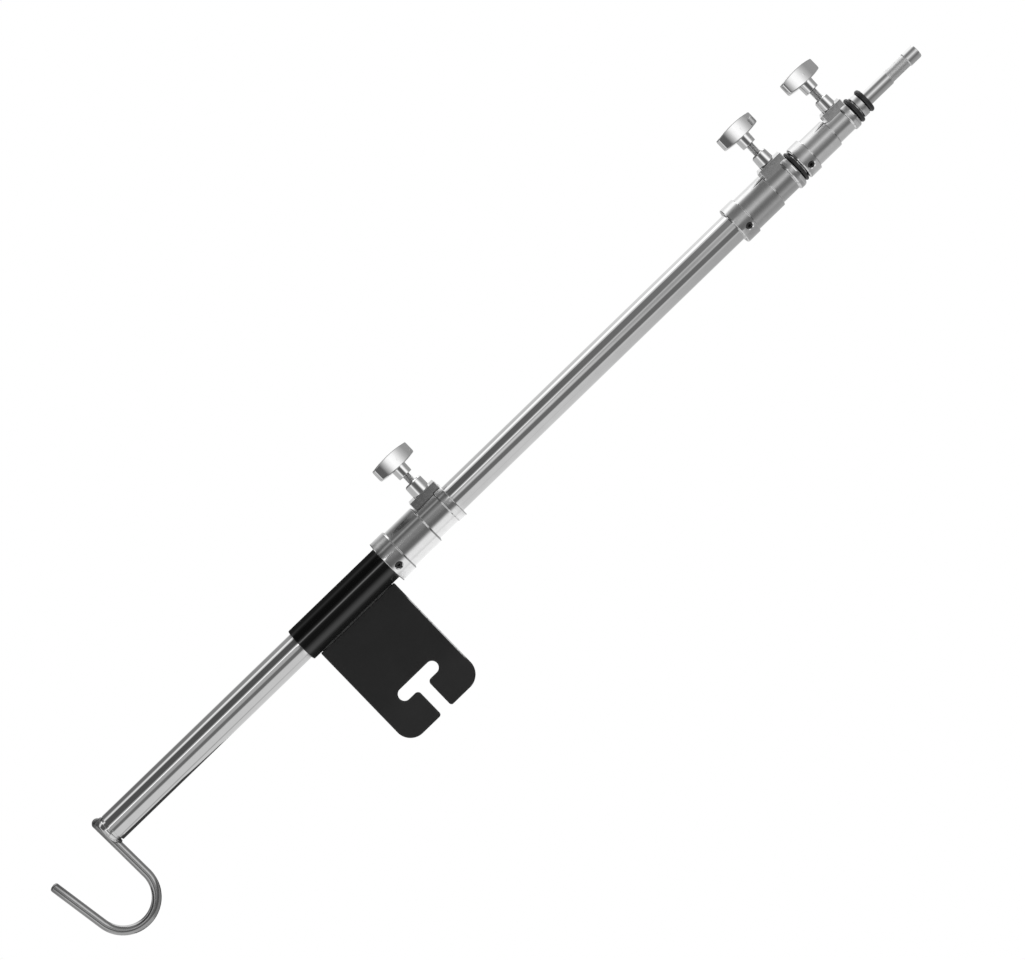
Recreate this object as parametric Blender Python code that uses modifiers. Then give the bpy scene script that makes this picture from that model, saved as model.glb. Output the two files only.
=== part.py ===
"""Telescoping baby boom arm for film and camera grip gear.

A black sleeve with a slotted ear plate is held in a grip head. The boom tube slides and turns in
the sleeve, and two smaller tubes telescope out of it. Each of the three collars has a T-knob
whose screw presses a brass shoe onto the tube that passes through. A counterweight hook is
welded across one end, and a 5/8 inch baby pin ends the other.

Units are metres. The arm runs along X with the pin towards +X, the knobs point along +Z and the
ear plate hangs along -Z. The origin is on the ear plate's -Y face, where the grip head's jaw bears.
"""

import math
from dataclasses import dataclass

import bmesh
import bpy

MM = 0.001
MERGE_DISTANCE = 0.01 * MM

# Clearances
SEAT_GAP = 0.3 * MM
RUNNING_GAP = 0.2 * MM
OVERCUT = 5.0 * MM

# Facets round each kind of piece
ARM_SIDES = 36
BOSS_SIDES = 24
SCREW_SIDES = 12
RING_SECTION_SIDES = 6
ROD_BEVEL_RESOLUTION = 5

# Sleeve, turning bush and ear plate
SLEEVE_OD = 38.1 * MM
SLEEVE_SHOWING = 118.5 * MM
BUSH_WALL = 1.3 * MM
BUSH_LENGTH = 16.0 * MM
BUSH_SETBACK = 1.0 * MM
EAR_THICKNESS = 6.35 * MM
EAR_WIDTH = 101.6 * MM
EAR_DROP = 147.7 * MM
EAR_CORNER_R = 18.0 * MM
EAR_EDGE_ROUND = 1.4 * MM
JAW_DROP = 60.0 * MM
SLOT_WIDTH = 13.5 * MM
SLOT_BAR_LENGTH = 51.8 * MM
SLOT_BAR_DROP = 107.0 * MM
SLOT_INNER_ROUND = 4.2 * MM
SLOT_MOUTH_ROUND = 3.0 * MM

# Tubes
BOOM_OD = 31.75 * MM
BOOM_WALL = 1.65 * MM
BOOM_REAR_REACH = 330.5 * MM
BOOM_FRONT_REACH = 543.0 * MM
MIDDLE_OD = 25.4 * MM
MIDDLE_WALL = 1.65 * MM
MIDDLE_TRAVEL = 600.0 * MM
MIDDLE_OVERLAP = 150.0 * MM
INNER_OD = 19.05 * MM
INNER_WALL = 1.65 * MM
INNER_TRAVEL = 600.0 * MM
INNER_OVERLAP = 150.0 * MM
GUIDE_RING_LENGTH = 22.0 * MM
GUIDE_RING_LIP = 2.0 * MM

# Counterweight hook and the plug that it is welded across
HOOK_ROD_D = 10.0 * MM
HOOK_RISE = 17.5 * MM
HOOK_DROP = 56.2 * MM
HOOK_BEND_R = 33.6 * MM
HOOK_TAIL = 63.2 * MM
HOOK_SPREAD = math.radians(8.1)
HOOK_LEAN = math.radians(1.5)
HOOK_BEND_STEPS = 20
HOOK_END_ROUND = 2.2 * MM
PLUG_SPIGOT = 16.0 * MM
PLUG_ROUND = 8.5 * MM
PLUG_ROUND_STEPS = 4

# Clamp screws, shoes and T-knobs
SCREW_D = 7.9375 * MM
SCREW_PITCH = 1.411 * MM
LOOSENING_TURNS = 2.0
SCREW_IN_KNOB = 16.0 * MM
SHOE_D = 12.4 * MM
SHOE_THICKNESS = 3.2 * MM
BOSS_CHAMFER = 1.6 * MM
KNOB_LENGTH = 47.2 * MM
KNOB_END_DEPTH = 7.0 * MM
KNOB_MID_DEPTH = 17.0 * MM
KNOB_END_HEIGHT = 13.2 * MM
KNOB_MID_HEIGHT = 17.4 * MM
KNOB_ROUND = 1.3 * MM
KNOB_BOW_STEPS = 8
HUB_TOP_D = 17.2 * MM
HUB_FOOT_D = 15.8 * MM
HUB_HEIGHT = 10.0 * MM

# Set screws that hold each collar on its tube
SET_SCREW_D = 6.35 * MM
SET_SCREW_RECESS = 1.5 * MM
SET_SCREW_SOCKET = 3.175 * MM
SET_SCREW_SOCKET_DEPTH = 2.5 * MM
COUNTERSINK_D = 9.4 * MM

# Rubber rings, ferrule and baby pin
BUMPER_GAP = 5.6 * MM
BUMPER_OD = 35.6 * MM
INNER_BUMPER_GAP = 6.4 * MM
INNER_BUMPER_OD = 29.6 * MM
FERRULE_OD = 25.2 * MM
FERRULE_LENGTH = 7.2 * MM
FERRULE_LIP = 2.0 * MM
FERRULE_CHAMFER = 0.7 * MM
PIN_RING_GAP = 7.0 * MM
PIN_RING_OD = 27.0 * MM
PIN_D = 15.875 * MM
PIN_BASE_LENGTH = 30.0 * MM
PIN_NECK_D = 14.0 * MM
PIN_NECK_LENGTH = 25.5 * MM
PIN_TIP_LENGTH = 13.6 * MM
PIN_STEP = 0.9 * MM
PIN_CHAMFER = 1.4 * MM
PIN_SPIGOT = 40.0 * MM


@dataclass
class Collar:
    """Sizes of one collar. Lengths run along the arm from the collar's rear face."""

    flange_d: float
    flange_end: float
    barrel_d: float
    barrel_end: float
    neck_d: float
    neck_end: float
    lip_d: float
    length: float
    step: float
    seat_depth: float
    block_start: float
    block_end: float
    block_half_width: float
    block_top: float
    block_round: float
    knob_at: float
    boss_d: float
    boss_height: float
    shank_showing: float
    knob_turn: float
    set_screw_at: float
    set_screw_drop: float


SLEEVE_COLLAR = Collar(
    flange_d=49.7 * MM,
    flange_end=18.4 * MM,
    barrel_d=46.0 * MM,
    barrel_end=55.3 * MM,
    neck_d=40.6 * MM,
    neck_end=81.6 * MM,
    lip_d=42.6 * MM,
    length=91.5 * MM,
    step=1.2 * MM,
    seat_depth=38.0 * MM,
    block_start=57.3 * MM,
    block_end=90.6 * MM,
    block_half_width=11.6 * MM,
    block_top=28.4 * MM,
    block_round=1.8 * MM,
    knob_at=74.6 * MM,
    boss_d=20.7 * MM,
    boss_height=12.4 * MM,
    shank_showing=8.7 * MM,
    knob_turn=math.radians(25),
    set_screw_at=8.0 * MM,
    set_screw_drop=math.radians(26),
)

BOOM_COLLAR = Collar(
    flange_d=43.0 * MM,
    flange_end=16.8 * MM,
    barrel_d=39.2 * MM,
    barrel_end=52.6 * MM,
    neck_d=34.8 * MM,
    neck_end=74.8 * MM,
    lip_d=39.6 * MM,
    length=83.8 * MM,
    step=1.3 * MM,
    seat_depth=36.0 * MM,
    block_start=54.4 * MM,
    block_end=83.0 * MM,
    block_half_width=14.2 * MM,
    block_top=24.0 * MM,
    block_round=1.6 * MM,
    knob_at=68.0 * MM,
    boss_d=18.4 * MM,
    boss_height=12.4 * MM,
    shank_showing=11.5 * MM,
    knob_turn=math.radians(21),
    set_screw_at=10.2 * MM,
    set_screw_drop=math.radians(30),
)

MIDDLE_COLLAR = Collar(
    flange_d=37.3 * MM,
    flange_end=15.6 * MM,
    barrel_d=32.2 * MM,
    barrel_end=45.8 * MM,
    neck_d=28.2 * MM,
    neck_end=66.4 * MM,
    lip_d=31.2 * MM,
    length=74.8 * MM,
    step=1.2 * MM,
    seat_depth=33.0 * MM,
    block_start=49.2 * MM,
    block_end=74.2 * MM,
    block_half_width=11.2 * MM,
    block_top=20.9 * MM,
    block_round=1.5 * MM,
    knob_at=61.6 * MM,
    boss_d=17.3 * MM,
    boss_height=11.6 * MM,
    shank_showing=10.8 * MM,
    knob_turn=math.radians(27.5),
    set_screw_at=7.8 * MM,
    set_screw_drop=math.radians(32),
)

# Places along the arm, measured from the middle of the sleeve
SLEEVE_REAR = -SLEEVE_SHOWING / 2
SLEEVE_COLLAR_AT = SLEEVE_SHOWING / 2 + SEAT_GAP
BOOM_COLLAR_AT = BOOM_FRONT_REACH
BOOM_COLLAR_FRONT = BOOM_COLLAR_AT + BOOM_COLLAR.length
MIDDLE_COLLAR_AT = BOOM_COLLAR_FRONT + BUMPER_GAP
MIDDLE_COLLAR_FRONT = MIDDLE_COLLAR_AT + MIDDLE_COLLAR.length
FERRULE_AT = MIDDLE_COLLAR_FRONT + INNER_BUMPER_GAP
PIN_RING_AT = FERRULE_AT + FERRULE_LENGTH
PIN_AT = PIN_RING_AT + PIN_RING_GAP
MIDDLE_TAIL = BOOM_COLLAR_FRONT - MIDDLE_TRAVEL - MIDDLE_OVERLAP
INNER_TAIL = MIDDLE_COLLAR_FRONT - INNER_TRAVEL - INNER_OVERLAP
INNER_FRONT = PIN_RING_AT - FERRULE_LIP - SEAT_GAP
SHOE_LIFT = LOOSENING_TURNS * SCREW_PITCH
SLEEVE_BORE_R = BOOM_OD / 2 + RUNNING_GAP
BUSH_R = SLEEVE_BORE_R + BUSH_WALL


def start_fresh():
    """Remove the scene's objects and make one collection for the parts and one for the cutters."""
    for obj in list(bpy.data.objects):
        bpy.data.objects.remove(obj)
    collections = []
    for name in ("baby_boom_arm", "cutters"):
        collection = bpy.data.collections.new(name)
        bpy.context.scene.collection.children.link(collection)
        collections.append(collection)
    return collections


PARTS, CUTTERS = start_fresh()


def make_material(name, colour, roughness, metallic):
    material = bpy.data.materials.new(name)
    material.use_nodes = True
    shader = material.node_tree.nodes["Principled BSDF"]
    shader.inputs["Base Color"].default_value = (*colour, 1.0)
    shader.inputs["Roughness"].default_value = roughness
    shader.inputs["Metallic"].default_value = metallic
    material.diffuse_color = (*colour, 1.0)
    return material


FINISHES = {
    "chrome": ((0.62, 0.62, 0.63), 0.12, 1.0),
    "cast_nickel": ((0.60, 0.60, 0.60), 0.22, 1.0),
    "satin_nickel": ((0.55, 0.55, 0.54), 0.35, 1.0),
    "gloss_black": ((0.006, 0.006, 0.007), 0.15, 0.0),
    "satin_black": ((0.02, 0.02, 0.021), 0.45, 0.0),
    "black_oxide": ((0.03, 0.03, 0.03), 0.40, 0.6),
    "rubber": ((0.012, 0.012, 0.012), 0.60, 0.0),
    "brass": ((0.70, 0.52, 0.22), 0.30, 1.0),
    "nylon": ((0.75, 0.74, 0.70), 0.50, 0.0),
}


def finish(obj, look):
    """Give a sub-part its own material in one of the finishes."""
    obj.data.materials.clear()
    obj.data.materials.append(make_material(obj.name, *FINISHES[look]))


def make_axis(name, parent=None, location=(0, 0, 0)):
    """An empty on the axis that its children slide along or turn about."""
    axis = bpy.data.objects.new(name, None)
    axis.empty_display_size = 20 * MM
    PARTS.objects.link(axis)
    axis.parent = parent
    axis.location = location
    return axis


def place(obj, parent, location=(0, 0, 0), rotation=(0, 0, 0), look=None, cutters=CUTTERS):
    """Link an object as a sub-part when it has a look, and otherwise as a cutter."""
    if look:
        PARTS.objects.link(obj)
        finish(obj, look)
    else:
        cutters.objects.link(obj)
        obj.hide_render = True
        obj.display_type = 'WIRE'
    obj.parent = parent
    obj.location = location
    obj.rotation_euler = rotation
    return obj


ALONG_ARM = (0, math.pi / 2, 0)
UPRIGHT = (0, 0, 0)
STOOD_UP = (math.pi / 2, 0, 0)


def turned(name, outer, inner=None, sides=ARM_SIDES):
    """Turn an outline about local Z. Points are (distance along the axis, radius), low to high."""
    points = list(reversed(outer))
    if inner:
        points += inner
    else:
        points = [(outer[-1][0], 0.0)] + points + [(outer[0][0], 0.0)]
    mesh = bpy.data.meshes.new(name)
    edges = [(i, i + 1) for i in range(len(points) - 1)]
    if inner:
        edges.append((len(points) - 1, 0))
    mesh.from_pydata([(radius, 0.0, along) for along, radius in points], edges, [])
    obj = bpy.data.objects.new(name, mesh)
    screw = obj.modifiers.new("Turn", 'SCREW')
    screw.steps = sides
    screw.render_steps = sides
    screw.use_merge_vertices = True
    screw.merge_threshold = MERGE_DISTANCE
    screw.use_smooth_shade = False
    return obj


def boolean(target, tool, operation='DIFFERENCE'):
    """Join, cut or intersect a sub-part with a tool object."""
    modifier = target.modifiers.new(operation.title(), 'BOOLEAN')
    modifier.operation = operation
    modifier.solver = 'EXACT'
    modifier.object = tool


def cut_all(target, name):
    """Cut a sub-part by every object of a new collection, which is returned empty."""
    cutters = bpy.data.collections.new(name)
    CUTTERS.children.link(cutters)
    modifier = target.modifiers.new("Cut all", 'BOOLEAN')
    modifier.operation = 'DIFFERENCE'
    modifier.solver = 'EXACT'
    modifier.operand_type = 'COLLECTION'
    modifier.collection = cutters
    return cutters


def arc(centre, radius, start, end, steps):
    """Points on an arc of a circle in a plane, both ends included, angles in degrees."""
    points = []
    for step in range(steps + 1):
        angle = math.radians(start + (end - start) * step / steps)
        points.append((centre[0] + radius * math.cos(angle), centre[1] + radius * math.sin(angle)))
    return points


def flat_outline(name, points, thickness):
    """A closed 2D curve, filled on both faces and extruded to its thickness."""
    curve = bpy.data.curves.new(name, 'CURVE')
    curve.dimensions = '2D'
    curve.fill_mode = 'BOTH'
    curve.extrude = thickness / 2
    spline = curve.splines.new('POLY')
    spline.points.add(len(points) - 1)
    for point, (x, y) in zip(spline.points, points):
        point.co = (x, y, 0.0, 1.0)
    spline.use_cyclic_u = True
    return bpy.data.objects.new(name, curve)


def curve_to_mesh(curve_object):
    """Replace a curve object with a welded mesh object of the same name."""
    name = curve_object.name
    bpy.context.scene.collection.objects.link(curve_object)
    evaluated = curve_object.evaluated_get(bpy.context.evaluated_depsgraph_get())
    mesh = bpy.data.meshes.new_from_object(evaluated)
    welded = bmesh.new()
    welded.from_mesh(mesh)
    bmesh.ops.remove_doubles(welded, verts=welded.verts, dist=MERGE_DISTANCE)
    welded.to_mesh(mesh)
    welded.free()
    solid = bpy.data.objects.new(name, mesh)
    solid.matrix_world = curve_object.matrix_world
    bpy.data.objects.remove(curve_object)
    solid.name = name
    return solid


def bowed_width(x, length, end_width, mid_width):
    """Width of a strip at a distance x from its middle, with both sides bowed as circular arcs."""
    bow = (mid_width - end_width) / 2
    radius = (length * length / 4 + bow * bow) / (2 * bow)
    return mid_width - 2 * (radius - math.sqrt(radius * radius - x * x))


def bowed_bar(name):
    """The knob's bar: a box cut across its length and bowed both in plan and in height."""
    shape = bmesh.new()
    bmesh.ops.create_cube(shape, size=1.0)
    lengthways = [edge for edge in shape.edges if abs(edge.verts[0].co.x - edge.verts[1].co.x) > 0.5]
    bmesh.ops.subdivide_edges(shape, edges=lengthways, cuts=KNOB_BOW_STEPS - 1)
    for vertex in shape.verts:
        x = vertex.co.x * KNOB_LENGTH
        depth = bowed_width(x, KNOB_LENGTH, KNOB_END_DEPTH, KNOB_MID_DEPTH)
        height = bowed_width(x, KNOB_LENGTH, KNOB_END_HEIGHT, KNOB_MID_HEIGHT)
        vertex.co = (x, vertex.co.y * depth, vertex.co.z * height)
    mesh = bpy.data.meshes.new(name)
    shape.to_mesh(mesh)
    shape.free()
    return bpy.data.objects.new(name, mesh)


def rubber_ring(name, parent, rear, gap, inner_r, outer_r):
    """An O-ring of oval section that fills the gap ahead of a rear face."""
    half_width = gap / 2 - SEAT_GAP
    half_depth = (outer_r - inner_r - RUNNING_GAP) / 2
    middle_r = outer_r - half_depth
    section = []
    for step in range(RING_SECTION_SIDES):
        angle = math.tau * (step + 0.5) / RING_SECTION_SIDES
        section.append((half_width * math.cos(angle), middle_r + half_depth * math.sin(angle)))
    upper_half = [point for point in section if point[1] > middle_r]
    lower_half = [point for point in section if point[1] < middle_r]
    upper_half.sort()
    lower_half.sort()
    ring = turned(name, upper_half, lower_half)
    place(ring, parent, (rear + gap / 2, 0, 0), ALONG_ARM, "rubber")


def plain_tube(name, parent, rear, front, outer_d, wall, look):
    outer_r = outer_d / 2
    bore_r = outer_r - wall
    length = front - rear
    tube = turned(name, [(0, outer_r), (length, outer_r)], [(0, bore_r), (length, bore_r)])
    return place(tube, parent, (rear, 0, 0), ALONG_ARM, look)


def build_sleeve(arm):
    """Black sleeve tube, open to its turning bush at the rear and seated in its collar in front."""
    outer_r = SLEEVE_OD / 2
    length = SLEEVE_SHOWING + SLEEVE_COLLAR.seat_depth
    pocket_r = BUSH_R + RUNNING_GAP
    pocket_end = BUSH_SETBACK + BUSH_LENGTH + RUNNING_GAP
    sleeve = turned(
        "sleeve_tube",
        [(0, outer_r), (length, outer_r)],
        [(0, pocket_r), (pocket_end, pocket_r), (pocket_end, SLEEVE_BORE_R), (length, SLEEVE_BORE_R)],
    )
    place(sleeve, arm, (SLEEVE_REAR, 0, 0), ALONG_ARM, "gloss_black")


def build_turning_bush(boom_axis):
    """Nylon bush in the rear of the sleeve. The boom slides through it and turns with it."""
    bush = turned(
        "rear_guide_bush",
        [(0, BUSH_R), (BUSH_LENGTH, BUSH_R)],
        [(0, SLEEVE_BORE_R), (BUSH_LENGTH, SLEEVE_BORE_R)],
    )
    place(bush, boom_axis, (SLEEVE_REAR + BUSH_SETBACK, 0, 0), ALONG_ARM, "nylon")


def ear_outline():
    """Half of the ear plate from its top corner to the slot, then the same half mirrored."""
    half = EAR_WIDTH / 2
    top = -SLEEVE_OD / 2 - SEAT_GAP
    slot_r = SLOT_WIDTH / 2
    bar_end = SLOT_BAR_LENGTH / 2 - slot_r
    bar_floor = -SLOT_BAR_DROP - slot_r
    corner = (-half + EAR_CORNER_R, -EAR_DROP + EAR_CORNER_R)
    mouth = (-slot_r - SLOT_MOUTH_ROUND, -EAR_DROP + SLOT_MOUTH_ROUND)
    shoulder = (-slot_r - SLOT_INNER_ROUND, bar_floor - SLOT_INNER_ROUND)
    left = [(-half, top)]
    left += arc(corner, EAR_CORNER_R, 180, 270, 9)
    left += arc(mouth, SLOT_MOUTH_ROUND, 270, 360, 4)
    left += arc(shoulder, SLOT_INNER_ROUND, 0, 90, 5)
    left += arc((-bar_end, -SLOT_BAR_DROP), slot_r, 270, 90, 10)
    right = [(-x, z) for x, z in reversed(left)]
    return left + right


def build_ear_plate(arm):
    """Slotted plate that the grip head clamps, welded edge on under the sleeve."""
    ear = curve_to_mesh(flat_outline("ear_plate", ear_outline(), EAR_THICKNESS))
    place(ear, arm, (0, 0, 0), STOOD_UP, "satin_black")
    rounding = ear.modifiers.new("Edge round", 'BEVEL')
    rounding.width = EAR_EDGE_ROUND
    rounding.segments = 2
    rounding.limit_method = 'ANGLE'
    rounding.angle_limit = math.radians(60)


def collar_outline(size):
    """Outer side of a collar: flange, barrel, neck and front lip with sloped steps between."""
    edge = size.step / 2
    flange_r = size.flange_d / 2
    barrel_r = size.barrel_d / 2
    neck_r = size.neck_d / 2
    lip_r = size.lip_d / 2
    return [
        (0, flange_r - edge),
        (edge, flange_r),
        (size.flange_end - edge, flange_r),
        (size.flange_end + edge, barrel_r),
        (size.barrel_end - edge, barrel_r),
        (size.barrel_end + edge, neck_r),
        (size.neck_end - edge, neck_r),
        (size.neck_end + edge, lip_r),
        (size.length - size.step, lip_r),
        (size.length, lip_r - size.step),
    ]


def build_block(name, size, parent, rear):
    """Rounded block on top of a collar that carries the screw bushing."""
    length = size.block_end - size.block_start
    mesh = bpy.data.meshes.new(name)
    shape = bmesh.new()
    bmesh.ops.create_cube(shape, size=1.0)
    bmesh.ops.scale(shape, vec=(length, 2 * size.block_half_width, size.block_top), verts=shape.verts)
    shape.to_mesh(mesh)
    shape.free()
    block = bpy.data.objects.new(name, mesh)
    middle = rear + (size.block_start + size.block_end) / 2
    place(block, parent, (middle, 0, size.block_top / 2))
    rounding = block.modifiers.new("Round", 'BEVEL')
    rounding.width = size.block_round
    rounding.segments = 2
    return block


def radial(drop, side):
    """Rotation that points local Z out of the arm, below level by a drop, to one side."""
    return (side * (math.pi / 2 + drop), 0, 0)


def build_set_screws(name, size, parent, rear, seat_d, cutters):
    """Two socket set screws, in countersunk holes through the flange onto the tube's seat."""
    flange_r = size.flange_d / 2
    seat_r = seat_d / 2
    hole_r = SET_SCREW_D / 2 + SEAT_GAP
    countersink_r = COUNTERSINK_D / 2
    countersink_floor = flange_r - (countersink_r - hole_r)
    screw_top = flange_r - SET_SCREW_RECESS
    chamfer = SET_SCREW_D / 8
    place_at = (rear + size.set_screw_at, 0, 0)
    for side, side_name in ((1, "front"), (-1, "rear")):
        turn = radial(size.set_screw_drop, side)
        hole = turned(
            f"{name}_set_screw_hole_{side_name}",
            [
                (seat_r - OVERCUT / 2, hole_r),
                (countersink_floor, hole_r),
                (flange_r + OVERCUT, countersink_r + OVERCUT),
            ],
            sides=SCREW_SIDES,
        )
        place(hole, parent, place_at, turn, cutters=cutters)
        screw = turned(
            f"{name}_set_screw_{side_name}",
            [
                (seat_r + SEAT_GAP, SET_SCREW_D / 2 - chamfer),
                (seat_r + SEAT_GAP + chamfer, SET_SCREW_D / 2),
                (screw_top, SET_SCREW_D / 2),
            ],
            sides=SCREW_SIDES,
        )
        place(screw, parent, place_at, turn, "black_oxide")
        socket = turned(
            f"{name}_set_screw_socket_{side_name}",
            [
                (screw_top - SET_SCREW_SOCKET_DEPTH, SET_SCREW_SOCKET / math.sqrt(3)),
                (screw_top + OVERCUT, SET_SCREW_SOCKET / math.sqrt(3)),
            ],
            sides=6,
        )
        boolean(screw, place(socket, parent, place_at, turn))


def build_collar(name, size, parent, rear, seat_d, tube_d):
    """A collar that is seated on one tube and guides the next one, with its bushing and screws."""
    collar = turned(name, collar_outline(size))
    place(collar, parent, (rear, 0, 0), ALONG_ARM, "cast_nickel")
    boolean(collar, build_block(f"{name}_block", size, parent, rear), 'UNION')
    seat_r = seat_d / 2 + SEAT_GAP
    guide_r = tube_d / 2 + RUNNING_GAP
    bore = turned(
        f"{name}_bore",
        [
            (-OVERCUT, seat_r),
            (size.seat_depth + SEAT_GAP, seat_r),
            (size.seat_depth + SEAT_GAP, guide_r),
            (size.length + OVERCUT, guide_r),
        ],
    )
    cutters = cut_all(collar, f"{name}_cutters")
    place(bore, parent, (rear, 0, 0), ALONG_ARM, cutters=cutters)
    knob_at = (rear + size.knob_at, 0, 0)
    shaft_r = SHOE_D / 2 + SEAT_GAP
    shaft = turned(
        f"{name}_shaft",
        [(0, shaft_r), (size.block_top + OVERCUT, shaft_r)],
        sides=BOSS_SIDES,
    )
    place(shaft, parent, knob_at, UPRIGHT, cutters=cutters)
    build_bushing(f"{name}_bushing", size, parent, knob_at, tube_d)
    build_set_screws(name, size, parent, rear, seat_d, cutters)


def shoe_top(tube_d):
    return tube_d / 2 + SEAT_GAP + SHOE_THICKNESS


def build_bushing(name, size, parent, knob_at, tube_d):
    """Threaded bushing: a spigot down the block's shaft under a round boss."""
    boss_r = size.boss_d / 2
    bore_r = SCREW_D / 2 + SEAT_GAP
    foot = shoe_top(tube_d) + SHOE_LIFT + 2 * SEAT_GAP
    seat = size.block_top + SEAT_GAP
    top = size.block_top + size.boss_height
    bushing = turned(
        name,
        [
            (foot, SHOE_D / 2),
            (seat, SHOE_D / 2),
            (seat, boss_r),
            (top - BOSS_CHAMFER, boss_r),
            (top, boss_r - BOSS_CHAMFER),
        ],
        [(foot, bore_r), (top, bore_r)],
        sides=BOSS_SIDES,
    )
    place(bushing, parent, knob_at, UPRIGHT, "chrome")


def build_clamp(name, size, section_axis, rear, tube_d):
    """Brass shoe on the tube, and the T-knob with its screw on top of the shoe."""
    axis = make_axis(f"{name}_knob_axis", section_axis, (rear + size.knob_at, 0, 0))
    top = shoe_top(tube_d)
    shoe = turned(f"{name}_clamp_shoe", [(tube_d / 4, SHOE_D / 2), (top, SHOE_D / 2)], sides=BOSS_SIDES)
    place(shoe, axis, (0, 0, 0), UPRIGHT, "brass")
    reach = SHOE_D / 2 + OVERCUT
    saddle_r = tube_d / 2 + SEAT_GAP
    saddle = turned(f"{name}_shoe_saddle", [(-reach, saddle_r), (reach, saddle_r)])
    boolean(shoe, place(saddle, axis, (0, 0, 0), ALONG_ARM))

    hub_foot = size.block_top + size.boss_height + size.shank_showing
    screw_top = hub_foot + SCREW_IN_KNOB
    screw_r = SCREW_D / 2
    tip_r = screw_r - SCREW_PITCH / 2
    screw_foot = top + SEAT_GAP
    screw = turned(
        f"{name}_knob_screw",
        [(screw_foot, tip_r), (screw_foot + SCREW_PITCH / 2, screw_r), (screw_top, screw_r)],
        sides=SCREW_SIDES,
    )
    place(screw, axis, (0, 0, 0), UPRIGHT, "satin_nickel")
    build_knob(f"{name}_knob", axis, hub_foot, size.knob_turn)


def build_knob(name, axis, hub_foot, turn):
    """T-knob: a bar bowed in plan and in height, over a tapered hub with a blind bore."""
    bar_middle = hub_foot + HUB_HEIGHT + KNOB_MID_HEIGHT / 2
    bar = place(bowed_bar(name), axis, (0, 0, bar_middle), (0, 0, turn), "chrome")
    rounding = bar.modifiers.new("Edge round", 'BEVEL')
    rounding.width = KNOB_ROUND
    rounding.segments = 2
    rounding.limit_method = 'ANGLE'
    rounding.angle_limit = math.radians(40)
    hub = turned(
        f"{name}_hub",
        [(hub_foot, HUB_FOOT_D / 2), (bar_middle, HUB_TOP_D / 2)],
        sides=BOSS_SIDES,
    )
    boolean(bar, place(hub, axis, (0, 0, 0), UPRIGHT), 'UNION')
    bore_r = SCREW_D / 2 + SEAT_GAP
    bore = turned(
        f"{name}_bore",
        [(hub_foot - OVERCUT, bore_r), (hub_foot + SCREW_IN_KNOB + SEAT_GAP, bore_r)],
        sides=SCREW_SIDES,
    )
    boolean(bar, place(bore, axis, (0, 0, 0), UPRIGHT))


def hook_path():
    """Centre line of the hook rod in the arm's plane, from its top end to its free tip."""
    points = [(0, HOOK_RISE), (0, HOOK_RISE - HOOK_END_ROUND), (0, -HOOK_DROP)]
    sweep = 180 - math.degrees(HOOK_SPREAD)
    bend = arc((-HOOK_BEND_R, -HOOK_DROP), HOOK_BEND_R, 0, -sweep, HOOK_BEND_STEPS)
    points += bend[1:]
    end_x, end_z = points[-1]
    along = (-math.sin(HOOK_SPREAD), math.cos(HOOK_SPREAD))
    for length in (HOOK_TAIL - HOOK_END_ROUND, HOOK_TAIL):
        points.append((end_x + along[0] * length, end_z + along[1] * length))
    return points


def build_hook(boom_axis):
    """Bent rod with rounded ends, welded across the boom's rear end to hang a weight from."""
    curve = bpy.data.curves.new("counterweight_hook", 'CURVE')
    curve.dimensions = '3D'
    curve.bevel_depth = HOOK_ROD_D / 2
    curve.bevel_resolution = ROD_BEVEL_RESOLUTION
    curve.use_fill_caps = True
    points = hook_path()
    spline = curve.splines.new('POLY')
    spline.points.add(len(points) - 1)
    for point, (x, z) in zip(spline.points, points):
        point.co = (x, 0.0, z, 1.0)
    end_scale = 1 - HOOK_END_ROUND / (HOOK_ROD_D / 2)
    spline.points[0].radius = end_scale
    spline.points[-1].radius = end_scale
    hook = bpy.data.objects.new("counterweight_hook", curve)
    place(hook, boom_axis, (-BOOM_REAR_REACH, 0, 0), (0, -HOOK_LEAN, 0), "chrome")


def build_rod_cutter(name, boom_axis):
    """Cylinder round the hook rod that notches the plug and the end of the boom tube."""
    reach = BOOM_OD / 2 + OVERCUT
    radius = HOOK_ROD_D / 2 + SEAT_GAP
    cutter = turned(name, [(-reach, radius), (reach, radius)], sides=BOSS_SIDES)
    return place(cutter, boom_axis, (-BOOM_REAR_REACH, 0, 0), (0, -HOOK_LEAN, 0))


def build_boom(boom_axis):
    """Boom tube with its round-ended plug and the hook across it."""
    tube_rear = -BOOM_REAR_REACH + PLUG_ROUND + SEAT_GAP
    front = BOOM_COLLAR_AT + BOOM_COLLAR.seat_depth
    tube = plain_tube("boom_tube", boom_axis, tube_rear, front, BOOM_OD, BOOM_WALL, "chrome")
    boolean(tube, build_rod_cutter("boom_tube_rod_notch", boom_axis))
    shell_r = BOOM_OD / 2
    spigot_r = shell_r - BOOM_WALL - SEAT_GAP
    rounded = arc((PLUG_ROUND, shell_r - PLUG_ROUND), PLUG_ROUND, 180, 90, PLUG_ROUND_STEPS)
    outer = rounded + [(PLUG_ROUND, spigot_r), (PLUG_ROUND + PLUG_SPIGOT, spigot_r)]
    plug = turned("boom_end_plug", outer)
    place(plug, boom_axis, (-BOOM_REAR_REACH, 0, 0), ALONG_ARM, "chrome")
    boolean(plug, build_rod_cutter("boom_plug_rod_groove", boom_axis))
    build_hook(boom_axis)


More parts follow.
